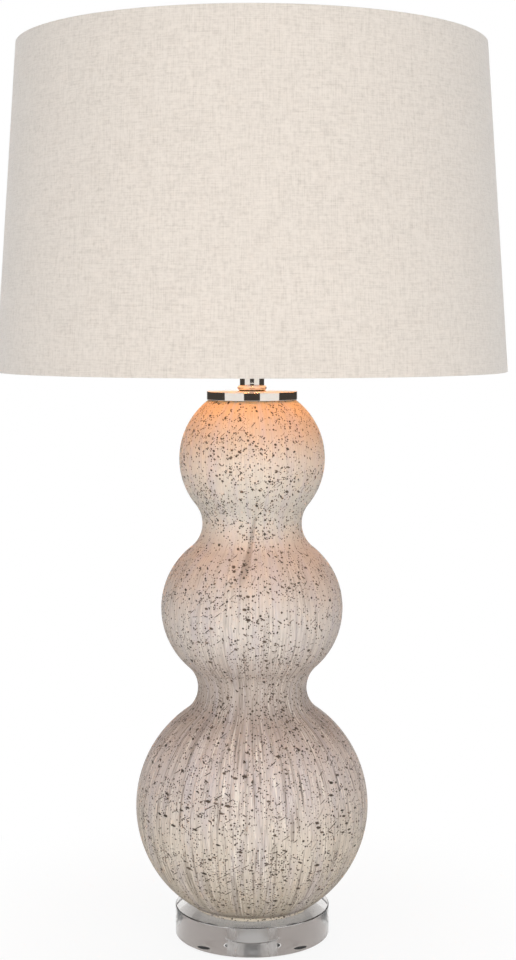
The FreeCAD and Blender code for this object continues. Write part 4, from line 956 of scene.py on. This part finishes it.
class Finishes:
    """The lamp's own finishes."""

    ACRYLIC = ClearFinish("cast_acrylic", (0.89, 0.872, 0.858), matt_radius=16.5 * MM)
    FOOT = ClearFinish("clear_foot", (0.86, 0.88, 0.87), bending=1.45, gloss=0.35, spread=0.1)
    BUSHING = ClearFinish("clear_bushing", (0.9, 0.9, 0.87), bending=1.46, gloss=0.25, spread=0.1)
    STEM = ClearFinish("clear_stem", (0.93, 0.95, 0.95), bending=1.5)
    GOURD = SpeckledGlassFinish("streaked_glass", (0.58, 0.50, 0.43))
    NICKEL = MetalFinish("mirror_nickel", (0.86, 0.80, 0.73), gloss=0.05, spread=0.03, depth=0.000004)
    HARP_NICKEL = MetalFinish(
        "bright_nickel", (0.80, 0.78, 0.75), gloss=0.16, spread=0.1, around=3.0, up=60.0
    )
    SOCKET_NICKEL = MetalFinish("satin_nickel", (0.78, 0.76, 0.72), gloss=0.24, spread=0.12)
    ZINC = MetalFinish("zinc_plate", (0.62, 0.63, 0.64), gloss=0.34, spread=0.2)
    ROD = MetalFinish("threaded_zinc", (0.60, 0.60, 0.60), gloss=0.36, spread=0.2, turns_up=1063.0)
    BRASS = MetalFinish("plain_brass", (0.80, 0.60, 0.30), gloss=0.28, spread=0.15)
    SHELL = MetalFinish("rolled_aluminium", (0.82, 0.82, 0.83), gloss=0.3, spread=0.15, turns_up=275.5)
    SOLDER = MetalFinish("grey_solder", (0.62, 0.62, 0.63), gloss=0.4, spread=0.2)
    RUBBER = MouldedFinish("matt_rubber", (0.03, 0.03, 0.03), gloss=0.7)
    PHENOLIC = MouldedFinish("dark_phenolic", (0.045, 0.035, 0.03), gloss=0.45)
    KNOB = MouldedFinish("black_knob", (0.018, 0.018, 0.019), gloss=0.25, spread=0.15)
    INSULATOR = MouldedFinish("black_insulator", (0.012, 0.012, 0.016), gloss=0.15)
    CARD = MouldedFinish(
        "grey_card", (0.36, 0.30, 0.23), gloss=0.85, mottle=0.35, depth=0.00008, grain=1400.0
    )
    COATED_WIRE = MouldedFinish("coated_wire", (0.80, 0.79, 0.75), gloss=0.35, spread=0.12)
    LINEN = LinenFinish("oatmeal_linen", (0.82, 0.765, 0.705))
    LINING = LiningFinish("white_lining", (0.86, 0.85, 0.82))
    GLOBE = GlowFinish("lit_globe", (0.95, 0.93, 0.88), glow=(1.0, 0.37, 0.075), strength=68.0)
    HOT_WIRE = GlowFinish("hot_wire", (0.4, 0.35, 0.3), glow=(1.0, 0.6, 0.3), strength=30.0)


def settle(
    piece: bpy.types.Object, body: Body, finish: Finish, stands_for: Iterable[str] = ()
) -> bpy.types.Object:
    """Dresses a new piece and joins it to the body that it moves with.

    Args:
        piece: The new piece, in place.
        body: The body that it rides on.
        finish: Its finish.
        stands_for: The construction solids that it replaces.

    Returns:
        The same piece.
    """
    piece.data.materials.clear()
    piece.data.materials.append(finish.material())
    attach(piece, body.value)
    named = tuple(stands_for)
    if named:
        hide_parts(*named)
    LOG.info("%s: %d faces in %s", piece.name, len(piece.data.polygons), finish.name)
    return piece


def dress(finish: Finish, *nodes: str) -> None:
    """Gives construction solids that stay in view their finish.

    Args:
        finish: The finish.
        *nodes: The names of the solids.
    """
    for name in nodes:
        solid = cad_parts[name]
        for holder in solid.material_slots:
            holder.material = finish.material()
        LOG.info("%s: in %s", name, finish.name)


# Sub-assemblies.


@dataclass
class ClearBase:
    """The acrylic disc on its four soft feet, with the cord's way out and the clamping hardware."""

    radius: float = 71.1 * MM
    low: float = 2.0 * MM
    top: float = 28.8 * MM
    recess_radius: float = 15.2 * MM
    recess_top: float = 19.0 * MM
    rod_hole: float = 5.4 * MM
    edge_round: float = 1.3 * MM
    cord_hole: float = 5.0 * MM
    cord_level: float = 10.0 * MM
    foot_radius: float = 6.35 * MM
    foot_place: float = 56.0 * MM

    def disc(self) -> bpy.types.Object:
        """The disc with its polished edges, its recess and the cord hole.

        Returns:
            The disc.
        """
        outline = [
            (self.rod_hole, self.recess_top),
            (self.recess_radius, self.recess_top),
            (self.recess_radius, self.low),
            (self.radius, self.low),
            (self.radius, self.top),
            (self.rod_hole, self.top),
        ]
        piece = turned_piece("clear_disc", soften(outline, self.edge_round, 5), 192)
        shape = bmesh.new()
        start = Vector((0.0, self.recess_radius * 0.5, self.cord_level))
        end = Vector((0.0, self.radius * 1.1, self.cord_level))
        add_tube(shape, [start, (start + end) / 2, end], self.cord_hole, 40)
        cut_away(piece, new_piece("cord_drill", shape))
        return piece

    def feet(self) -> bpy.types.Object:
        """Four soft feet with domed edges, as one piece.

        Returns:
            The feet.
        """
        outline = [
            (0.0, 0.0),
            (self.foot_radius - 1.0 * MM, 0.0),
            (self.foot_radius, 1.1 * MM),
            (self.foot_radius, self.low),
            (0.0, self.low),
        ]
        shape = bmesh.new()
        for quarter in range(4):
            angle = math.radians(45 + 90 * quarter)
            centre = (self.foot_place * math.cos(angle), self.foot_place * math.sin(angle))
            add_turned(shape, soften(outline, 1.0 * MM, 4), 36, centre)
        return new_piece("soft_feet", shape)

    def build(self) -> None:
        """Builds and dresses the base."""
        settle(self.disc(), Body.STAND, Finishes.ACRYLIC, ["acrylic_base"])
        settle(self.feet(), Body.STAND, Finishes.FOOT, ["bumper_feet"])
        dress(Finishes.BUSHING, "cord_bushing")
        dress(Finishes.ROD, "threaded_rod")
        dress(Finishes.ZINC, "base_nut", "base_lock_washer", "base_washer")
        dress(Finishes.RUBBER, "base_gasket", "cap_gasket")


@dataclass
class GourdGlass:
    """The blown-glass body: three bulbs, two waists, a foot lip and an open mouth."""

    foot_level: float = 28.8 * MM
    mouth_level: float = 500.0 * MM
    wall: float = 3.5 * MM
    levels: tuple[float, float, float] = (93.5 * MM, 276.4 * MM, 413.3 * MM)
    radii: tuple[float, float, float] = (106.7 * MM, 82.7 * MM, 66.1 * MM)
    curves: tuple[float, float, float] = (106.7 * MM, 70.8 * MM, 66.1 * MM)
    waists: tuple[float, float] = (27.5 * MM, 28.0 * MM)
    lip_radius: float = 55.0 * MM
    hole_radius: float = 6.5 * MM
    floor_level: float = 36.8 * MM
    segments: int = 224
    ripple: float = 0.55 * MM
    crease_low: float = 336 * MM
    crease_height: float = 66 * MM
    crease_depth: float = 2.2 * MM

    def chain(self, inset: float, first: float, last: float, spacing: float) -> Outline:
        """The curve up the three bulbs and round the two waists.

        Args:
            inset: How far inside the outer surface the curve runs.
            first: The height at which it starts.
            last: The height at which it ends.
            spacing: The distance between its points.

        Returns:
            The points from the bottom up.
        """
        curves = [curve - inset for curve in self.curves]
        waists = [curve + inset for curve in self.waists]
        centres = [
            Vector((radius - curve, self.foot_level + level))
            for radius, curve, level in zip(self.radii, self.curves, self.levels)
        ]
        circles: list[tuple[Vector, float]] = [(centres[0], curves[0])]
        touches: list[Vector] = []
        for index, waist in enumerate(waists):
            low, high = centres[index], centres[index + 1]
            to_low, to_high = curves[index] + waist, curves[index + 1] + waist
            span = (high - low).length
            along = (to_low**2 - to_high**2 + span**2) / (2 * span)
            out = math.sqrt(to_low**2 - along**2)
            way = (high - low).normalized()
            middle = low + way * along + Vector((way.y, -way.x)) * out
            circles += [(middle, waist), (high, curves[index + 1])]
            touches.append(middle + (low - middle).normalized() * waist)
            touches.append(middle + (high - middle).normalized() * waist)
        points: Outline = []
        levels = [first, *(touch.y for touch in touches), last]
        for index, (centre, radius) in enumerate(circles):
            start, end = levels[index], levels[index + 1]
            side = -1 if index % 2 else 1
            sines = [(level - centre.y) / radius for level in (start, end)]
            angles = [math.asin(max(-1.0, min(1.0, sine))) for sine in sines]
            steps = max(3, round(abs(angles[1] - angles[0]) * radius / spacing))
            for step in range(steps + (index == len(circles) - 1)):
                angle = angles[0] + (angles[1] - angles[0]) * step / steps
                across = centre.x + side * radius * math.cos(angle)
                points.append((across, centre.y + radius * math.sin(angle)))
        return points

    def outline(self) -> Outline:
        """The closed outline of the glass wall, with its foot lip.

        Returns:
            The outline.
        """
        foot = self.foot_level
        lip = self.lip_radius
        lip_points = [
            (lip - 10.5 * MM, foot + 0.6 * MM),
            (lip - 8.0 * MM, foot),
            (lip - 1.6 * MM, foot),
            (lip - 0.5 * MM, foot + 0.45 * MM),
            (lip, foot + 1.5 * MM),
            (lip - 0.1 * MM, foot + 2.5 * MM),
            (lip - 0.9 * MM, foot + 3.4 * MM),
        ]
        under = [
            (self.hole_radius, self.floor_level),
            (self.hole_radius, foot + 3.0 * MM),
            (lip - 15.5 * MM, foot + 3.0 * MM),
        ]
        outer = self.chain(0.0, foot + 5.0 * MM, self.mouth_level, 1.6 * MM)
        inner = self.chain(self.wall, self.floor_level, self.mouth_level, 7.0 * MM)
        return under + lip_points + outer + inner[::-1]

    def build(self) -> None:
        """Builds the glass with its hand-made unevenness and dresses it."""
        shape = bmesh.new()
        add_turned(shape, self.outline(), self.segments)
        for point in shape.verts:
            self.breathe(point)
        piece = new_piece("gourd_glass", shape, 50.0)
        settle(piece, Body.STAND, Finishes.GOURD, ["glass_body"])

    def breathe(self, point: bmesh.types.BMVert) -> None:
        """Moves one point of the surface in or out by up to about a millimetre, or more in the crease.

        Args:
            point: The point that moves, away from the foot, the mouth and the inner floor.
        """
        place = point.co
        across = math.hypot(place.x, place.y)
        rise = place.z - self.foot_level
        span = self.mouth_level - self.foot_level
        calm = min(1.0, max(0.0, rise / (14 * MM))) * min(1.0, max(0.0, (span - rise) / (22 * MM)))
        if across < 20 * MM or calm <= 0:
            return
        round_x, round_y = place.x / across, place.y / across
        slow = noise.noise(Vector((round_x * 1.4, round_y * 1.4, place.z * 7)))
        folds = noise.noise(Vector((round_x * 6.5 + 3, round_y * 6.5, place.z * 9)))
        move = (slow * 1.2 + folds * 0.55) * self.ripple
        move -= self.crease(math.degrees(math.atan2(place.x, -place.y)), place.z)
        factor = 1 + move * calm / across
        place.x *= factor
        place.y *= factor

    def crease(self, bearing: float, height: float) -> float:
        """The depth of the soft fold that runs down the front of the upper waist.

        Args:
            bearing: The direction from the axis in degrees, 0 at the front.
            height: The height above the table.

        Returns:
            How far the surface lies inwards.
        """
        part = (height - self.crease_low) / self.crease_height
        if not 0 < part < 1:
            return 0.0
        middle = -8.0 + 13.0 * part
        width = 4.0 - 1.0 * part
        apart = (bearing - middle) / width
        return self.crease_depth * math.exp(-apart * apart) * math.sin(math.pi * part) ** 0.7


@dataclass
class NickelNeck:
    """The polished cap over the glass mouth and the neck that stands on it."""

    hole: float = 5.4 * MM
    cap_radius: float = 41.1 * MM
    cap_low: float = 495.42 * MM
    cap_wall: float = 1.1 * MM
    cap_under: float = 502.0 * MM
    cap_edge: float = 503.1 * MM
    cap_top: float = 503.7 * MM
    bead_radius: float = 13.3 * MM
    bead_top: float = 508.2 * MM
    neck_radius: float = 11.1 * MM
    neck_bore: float = 9.9 * MM
    neck_top: float = 553.0 * MM
    collar_radius: float = 12.6 * MM
    collar_top: float = 555.2 * MM

    def cap(self) -> bpy.types.Object:
        """The flat cap with its short skirt and softened rim.

        Returns:
            The cap.
        """
        inside = self.cap_radius - self.cap_wall
        outline = [
            (self.hole, self.cap_under),
            (inside, self.cap_under),
            (inside, self.cap_low),
            (self.cap_radius, self.cap_low),
            (self.cap_radius, self.cap_edge),
            (self.bead_radius, self.cap_top),
            (self.hole, self.cap_top),
        ]
        return turned_piece("nickel_cap", soften(outline, 0.5 * MM, 4, 5.0), 160)

    def bead(self) -> bpy.types.Object:
        """The rounded ring at the neck's foot.

        Returns:
            The ring.
        """
        half = (self.bead_top - self.cap_top) / 2
        outline = [(self.hole, self.cap_top)]
        outline += arc_points(self.bead_radius - half, self.cap_top + half, half, -90, 90, 14)
        outline += [
            (self.neck_bore - 0.1 * MM, self.bead_top),
            (self.neck_bore - 0.1 * MM, self.bead_top + 2.5 * MM),
            (self.hole, self.bead_top + 2.5 * MM),
        ]
        return turned_piece("nickel_bead", outline, 96)

    def column(self) -> bpy.types.Object:
        """The straight neck tube.

        Returns:
            The tube.
        """
        outline = [
            (self.neck_bore, self.bead_top),
            (self.neck_radius, self.bead_top),
            (self.neck_radius, self.neck_top),
            (self.neck_bore, self.neck_top),
        ]
        return turned_piece("nickel_column", soften(outline, 0.25 * MM, 3), 96)

    def collar(self) -> bpy.types.Object:
        """The rounded ring on top of the neck.

        Returns:
            The ring.
        """
        half = (self.collar_top - self.neck_top) / 2
        outline = [
            (self.hole, self.neck_top - 2.5 * MM),
            (self.neck_bore - 0.1 * MM, self.neck_top - 2.5 * MM),
            (self.neck_bore - 0.1 * MM, self.neck_top),
        ]
        outline += arc_points(self.collar_radius - half, self.neck_top + half, half, -90, 90, 12)
        outline += [(self.hole, self.collar_top)]
        return turned_piece("nickel_collar", outline, 96)

    def build(self) -> None:
        """Builds and dresses the cap and neck."""
        pieces = (
            (self.cap(), "vase_cap"),
            (self.bead(), "neck_ring"),
            (self.column(), "neck_tube"),
            (self.collar(), "neck_top_ring"),
        )
        for piece, solid in pieces:
            settle(piece, Body.STAND, Finishes.NICKEL, [solid])


@dataclass
class HarpSet:
    """The harp, its saddle, sleeves and stud."""

    def build(self) -> None:
        """Dresses the harp's solids."""
        dress(Finishes.HARP_NICKEL, "harp_saddle", "harp_wire", "harp_stud")
        dress(Finishes.HARP_NICKEL, "harp_sleeve_left", "harp_sleeve_right")


@dataclass
class LampSocket:
    """The socket with its switch."""

    def build(self) -> None:
        """Dresses the socket's solids."""
        dress(Finishes.SOCKET_NICKEL, "socket_cap", "socket_shell")
        dress(Finishes.ZINC, "socket_set_screw", "switch_shaft")
        dress(Finishes.CARD, "socket_liner")
        dress(Finishes.PHENOLIC, "socket_body")
        dress(Finishes.BRASS, "terminal_screws", "socket_contact")
        dress(Finishes.SHELL, "socket_thread_shell")
        dress(Finishes.KNOB, "switch_knob")


@dataclass
class LampBulb:
    """The lit lamp bulb."""

    def build(self) -> None:
        """Dresses the bulb's solids."""
        dress(Finishes.SOLDER, "bulb_contact")
        dress(Finishes.INSULATOR, "bulb_insulator")
        dress(Finishes.SHELL, "bulb_cap")
        dress(Finishes.GLOBE, "bulb_glass")
        dress(Finishes.STEM, "bulb_stem")
        dress(Finishes.HOT_WIRE, "bulb_filament")


@dataclass
class LinenShade:
    """The drum shade: linen over a stiff lining, on a wire ring below and a three-armed ring above."""

    low: float = 521.3 * MM
    top: float = 807.3 * MM
    low_radius: float = 228.6 * MM
    top_radius: float = 207.9 * MM
    cloth: float = 0.7 * MM
    lining: float = 0.8 * MM
    wire: float = 1.6 * MM
    ring_inset: float = 0.3 * MM
    hem_reach: float = 9.0 * MM
    segments: int = 288
    seat: float = 793.7 * MM
    washer_radius: float = 14.0 * MM
    washer_height: float = 1.6 * MM
    washer_hole: float = 3.5 * MM
    arm_bend: float = 7.0 * MM
    seam_half: float = 5.5 * MM

    def radius_at(self, level: float, inset: float = 0.0) -> float:
        """The shade's outside radius at a height, less an inset."""
        part = (level - self.low) / (self.top - self.low)
        return self.low_radius + (self.top_radius - self.low_radius) * part - inset

    def wall(self, outer: float, inner: float, low: float, high: float, rows: int) -> Outline:
        """A closed outline of a thin sloping wall.

        Args:
            outer: How far its outside lies inside the shade's outline.
            inner: How far its inside lies inside the shade's outline.
            low: Its lower edge.
            high: Its upper edge.
            rows: How many runs it has from edge to edge.

        Returns:
            The outline.
        """
        levels = [low + (high - low) * row / rows for row in range(rows + 1)]
        outside = [(self.radius_at(level, outer), level) for level in levels]
        inside = [(self.radius_at(level, inner), level) for level in reversed(levels)]
        return outside + inside

    def skin(self) -> bpy.types.Object:
        """The linen, from rim to rim."""
        outline = self.wall(0.0, self.cloth, self.low, self.top, 24)
        return turned_piece("linen_skin", soften(outline, 0.3 * MM, 3), self.segments)

    def hem(self, name: str, rim: float, way: int) -> bpy.types.Object:
        """The linen turned over a rim and glued down on the inside.

        Args:
            name: The piece's name.
            rim: The rim's height.
            way: 1 for the lower rim, -1 for the upper one.

        Returns:
            The hem.
        """
        back = self.cloth + self.lining
        ring = back + self.wire * 2 + 0.25 * MM
        over = ring + 0.3 * MM
        steps = [
            (0.4 * MM, 0.0),
            (0.9 * MM, -0.35 * MM),
            (ring - 0.8 * MM, -0.30 * MM),
            (ring, 0.5 * MM),
            (over, self.wire),
            (ring, self.wire * 2 + 0.4 * MM),
            (back + 0.6 * MM, self.wire * 2 + 2.0 * MM),
            (back + 0.35 * MM, self.wire * 2 + 3.2 * MM),
            (back + 0.35 * MM, self.hem_reach),
            (back, self.hem_reach),
            (back, self.wire * 2 + 2.0 * MM),
            (back, 0.1 * MM),
        ]
        outline = []
        for inset, rise in steps:
            level = rim + way * rise
            outline.append((self.radius_at(level, inset), level))
        return turned_piece(name, soften(outline, 0.6 * MM, 3), self.segments)

    def seam(self) -> bpy.types.Object:
        """The upright overlap of the cloth at the back of the shade.

        Returns:
            The seam.
        """
        shape = bmesh.new()
        rows, columns = 24, 10
        sheets = []
        for depth in (-0.28 * MM, 0.2 * MM):
            sheet = []
            for row in range(rows + 1):
                level = self.low + (self.top - self.low) * row / rows
                line = []
                for column in range(columns + 1):
                    part = 2 * column / columns - 1
                    lift = depth if depth > 0 else depth * (1 - abs(part) ** 6)
                    radius = self.radius_at(level, lift)
                    angle = math.pi / 2 + self.seam_half * part / radius
                    across, back = radius * math.cos(angle), radius * math.sin(angle)
                    line.append(shape.verts.new((across, back, level)))
                sheet.append(line)
            sheets.append(sheet)
        outer, inner = sheets
        for sheet in sheets:
            for row in range(rows):
                for column in range(columns):
                    low, high = sheet[row], sheet[row + 1]
                    shape.faces.new((low[column], low[column + 1], high[column + 1], high[column]))
        edge_pairs = [(outer[0], inner[0]), (outer[-1], inner[-1])]
        edge_pairs += [([line[end] for line in outer], [line[end] for line in inner]) for end in (0, -1)]
        for first, second in edge_pairs:
            for index in range(len(first) - 1):
                shape.faces.new((first[index], first[index + 1], second[index + 1], second[index]))
        return new_piece("linen_seam", shape)

    def ring_outline(self, level: float) -> Outline:
        """The round section of a ring of wire at a height.

        Args:
            level: The height of the wire's middle.

        Returns:
            The outline.
        """
        edge = level + self.wire if level < (self.low + self.top) / 2 else self.top
        middle = self.radius_at(edge, self.cloth + self.lining + self.wire + 0.1 * MM)
        return arc_points(middle, level, self.wire, 0, 345, 23)

    def lower_ring(self) -> bpy.types.Object:
        """The plain ring inside the lower rim."""
        level = self.low + self.ring_inset + self.wire
        return turned_piece("lower_ring", self.ring_outline(level), self.segments)

    def spider(self) -> bpy.types.Object:
        """The upper ring with its three arms and the washer that sits on the harp.

        Returns:
            The frame.
        """
        shape = bmesh.new()
        level = self.top - self.ring_inset - self.wire
        outline = self.ring_outline(level)
        middle = outline[0][0] - self.wire
        add_turned(shape, outline, self.segments)
        washer = [
            (self.washer_hole, self.seat),
            (self.washer_radius, self.seat),
            (self.washer_radius, self.seat + self.washer_height),
            (self.washer_hole, self.seat + self.washer_height),
        ]
        add_turned(shape, soften(washer, 0.3 * MM, 3), 64)
        arm_level = self.seat + self.washer_height / 2
        bend = arc_points(middle - self.arm_bend, arm_level + self.arm_bend, self.arm_bend, -90, 0, 10)
        line = [(self.washer_radius - 1.0 * MM, arm_level), *bend, (middle, level)]
        for third in range(3):
            angle = math.radians(90 + 120 * third)
            out = Vector((math.cos(angle), math.sin(angle), 0.0))
            path = [out * reach + Vector((0.0, 0.0, height)) for reach, height in line]
            add_tube(shape, path, self.wire, 20)
        return new_piece("spider_frame", shape)

    def build(self) -> None:
        """Builds and dresses the shade."""
        skin = settle(self.skin(), Body.SHADE, Finishes.LINEN, ["shade_fabric"])
        trims = [self.hem("hem_low", self.low, 1), self.hem("hem_high", self.top, -1), self.seam()]
        for trim in trims:
            settle(trim, Body.SHADE, Finishes.LINEN)
        settle(self.lower_ring(), Body.SHADE, Finishes.COATED_WIRE, ["shade_bottom_ring"])
        frame_solids = ["shade_top_ring", "shade_arms", "fitter_washer"]
        settle(self.spider(), Body.SHADE, Finishes.COATED_WIRE, frame_solids)
        dress(Finishes.LINING, "shade_lining")


@dataclass
class FinialSet:
    """The finial on top of the harp."""

    def build(self) -> None:
        """Dresses the finial's solids."""
        dress(Finishes.NICKEL, "finial_base", "finial_knob")


# Studio.


@dataclass
class Studio:
    """Floor, backdrop, soft lamps and camera."""

    camera_back: float = 1.5247
    camera_up: float = 0.5599
    camera_side: float = 0.0054
    pitch: float = 5.16
    lens: float = 63.2
    boxes: tuple[tuple[str, float, float], ...] = (
        ("left_box", -33.0, 23.5),
        ("right_box", 34.0, 24.5),
        ("rear_left_box", -162.0, 20.0),
        ("rear_right_box", 162.0, 20.0),
    )
    box_away: float = 1.9
    box_width: float = 1.7
    box_height: float = 1.5
    box_level: float = 0.62
    ambient: float = 0.15
    overhead: float = 0.5
    through_clear: float = 0.32
    screen_away: float = 2.4
    screen_steps: int = 24
    screen_levels: tuple[float, float] = (-0.05, 2.2)
    dark_screens: tuple[tuple[str, float, float], ...] = (
        ("camera_screen", -20.0, 20.0),
        ("left_screen", -72.0, -160.0),
        ("right_screen", 72.0, 160.0),
    )
    dark: Colour = (0.05, 0.042, 0.036)
    clear_view: Colour = (0.19, 0.172, 0.162)
    floor_size: float = 6.0
    floor_grey: float = 0.74
    aim_level: float = 0.45

    def seen_directly(self, wiring: Wiring) -> bpy.types.NodeSocket:
        """1 where the camera or a reflection looks, less for a view through clear pieces, otherwise 0.

        Args:
            wiring: The wiring of the floor's material or of the world.

        Returns:
            The share.
        """
        rays = wiring.add("ShaderNodeLightPath").outputs
        seen = wiring.math("MAXIMUM", rays["Is Camera Ray"], rays["Is Glossy Ray"])
        through = wiring.times(rays["Is Transmission Ray"], self.through_clear)
        return wiring.math("MAXIMUM", seen, through)

    def floor(self) -> None:
        """A pale floor that keeps the lamp's shadow, and is greyer near and under the lamp as painted shade.
        """
        shape = bmesh.new()
        bmesh.ops.create_grid(shape, x_segments=1, y_segments=1, size=self.floor_size)
        piece = new_piece("studio_floor", shape)
        made = bpy.data.materials.new("studio_white")
        made.use_nodes = True
        made.node_tree.nodes.clear()
        wiring = Wiring(made.node_tree)
        matt = wiring.add("ShaderNodeBsdfDiffuse", {"Color": (self.floor_grey,) * 3}).outputs[0]
        glow = wiring.add("ShaderNodeEmission", {"Color": (1.0, 1.0, 1.0), "Strength": 1.0}).outputs[0]
        place = wiring.object_place()
        away = wiring.add("ShaderNodeVectorMath", {0: place}, operation="LENGTH").outputs["Value"]
        # Painted shade: the white glow thins near the lamp's axis, and most under the clear disc, so the grey
        # floor shows there beside the real shadow.
        white = wiring.fade(away, 0.10, 0.40, 0.90, 1.0)
        white = wiring.times(white, wiring.fade(away, 0.050, 0.070, 0.3, 1.0))
        part = wiring.times(self.seen_directly(wiring), white)
        surface = wiring.add("ShaderNodeOutputMaterial").inputs["Surface"]
        wiring.feed(surface, wiring.layer(part, matt, glow))
        piece.data.materials.append(made)

    def backdrop(self) -> None:
        """A white world that gives the object a plain, even light."""
        world = bpy.data.worlds.new("studio_world")
        world.use_nodes = True
        world.node_tree.nodes.clear()
        wiring = Wiring(world.node_tree)
        way = wiring.add("ShaderNodeTexCoord").outputs["Generated"]
        rise = wiring.add("ShaderNodeSeparateXYZ", {0: way}).outputs["Z"]
        soft = wiring.fade(rise, 0.45, 0.95, self.ambient, self.overhead)
        strength = wiring.fade(self.seen_directly(wiring), 0.0, 1.0, soft, 1.0)
        feeds = {"Color": (1.0, 1.0, 1.0), "Strength": strength}
        sky = wiring.add("ShaderNodeBackground", feeds).outputs[0]
        wiring.feed(wiring.add("ShaderNodeOutputWorld").inputs["Surface"], sky)
        bpy.context.scene.world = world

    def softbox(self, name: str, bearing: float, power: float) -> None:
        """One large soft lamp, aimed at the object.

        Args:
            name: The lamp's name.
            bearing: Its direction from the object in degrees, 0 towards the camera and positive to the right.
            power: Its power in watts.
        """
        data = bpy.data.lights.new(name, "AREA")
        data.shape = "RECTANGLE"
        data.size = self.box_width
        data.size_y = self.box_height
        data.energy = power
        lamp = bpy.data.objects.new(name, data)
        angle = math.radians(bearing)
        place = Vector((math.sin(angle), -math.cos(angle), 0.0)) * self.box_away
        place.z = self.box_level
        lamp.location = place
        lamp.rotation_mode = "QUATERNION"
        lamp.rotation_quaternion = (Vector((0.0, 0.0, self.aim_level)) - place).to_track_quat("-Z", "Y")
        lamp.visible_glossy = False
        lamp.visible_transmission = False
        bpy.context.scene.collection.objects.link(lamp)

    def screen(self, name: str, first: float, last: float, colour: Colour, glow: float = 0.0) -> None:
        """A curved studio screen that only polished pieces mirror, or only clear ones show.

        Args:
            name: The screen's name.
            first: Where it starts, as a bearing in degrees.
            last: Where it ends.
            colour: Its colour.
            glow: How bright clear pieces show it. At 0 it is one that polished pieces mirror.
        """
        shape = bmesh.new()
        columns = []
        for step in range(self.screen_steps + 1):
            angle = math.radians(first + (last - first) * step / self.screen_steps)
            across, back = math.sin(angle) * self.screen_away, -math.cos(angle) * self.screen_away
            columns.append([shape.verts.new((across, back, level)) for level in self.screen_levels])
        for left, right in zip(columns, columns[1:]):
            shape.faces.new((left[0], right[0], right[1], left[1]))
        piece = new_piece(name, shape)
        made = bpy.data.materials.new(name)
        made.use_nodes = True
        sockets = made.node_tree.nodes["Principled BSDF"].inputs
        sockets["Base Color"].default_value = (*colour, 1.0)
        sockets["Emission Color"].default_value = (*colour, 1.0)
        sockets["Emission Strength"].default_value = glow
        piece.data.materials.append(made)
        piece.visible_camera = False
        piece.visible_diffuse = False
        piece.visible_shadow = False
        piece.visible_glossy = not glow
        piece.visible_transmission = bool(glow)

    def camera(self) -> None:
        """The camera at the photograph's height, distance and tilt."""
        data = bpy.data.cameras.new("camera")
        data.lens = self.lens
        data.sensor_width = 36.0
        data.sensor_fit = "AUTO"
        data.clip_start = 0.05
        data.clip_end = 50.0
        camera = bpy.data.objects.new("camera", data)
        camera.location = (self.camera_side, -self.camera_back, self.camera_up)
        camera.rotation_euler = (math.radians(90 - self.pitch), 0.0, 0.0)
        bpy.context.scene.collection.objects.link(camera)
        bpy.context.scene.camera = camera

    def build(self) -> None:
        """Builds the studio."""
        self.camera()
        self.floor()
        self.backdrop()
        for box in self.boxes:
            self.softbox(*box)
        for screen in self.dark_screens:
            self.screen(*screen, self.dark)
        self.screen("clear_screen", 60.0, 300.0, self.clear_view, 1.0)
        bpy.context.scene.view_settings.view_transform = "Standard"


def corners(box: Sequence[Vector]) -> list[list[float]]:
    """A box as plain lists of numbers."""
    return [[float(value) for value in corner] for corner in box]


def main() -> None:
    """Builds the studio and the lamp."""
    logging.basicConfig(level=logging.INFO, format="%(name)s: %(message)s")
    parts = (Studio, ClearBase, GourdGlass, NickelNeck, HarpSet, LampSocket, LampBulb, LinenShade, FinialSet)
    for part in parts:
        part().build()
        LOG.info("%s is built", part.__name__)


if __name__ == "__main__":
    main()
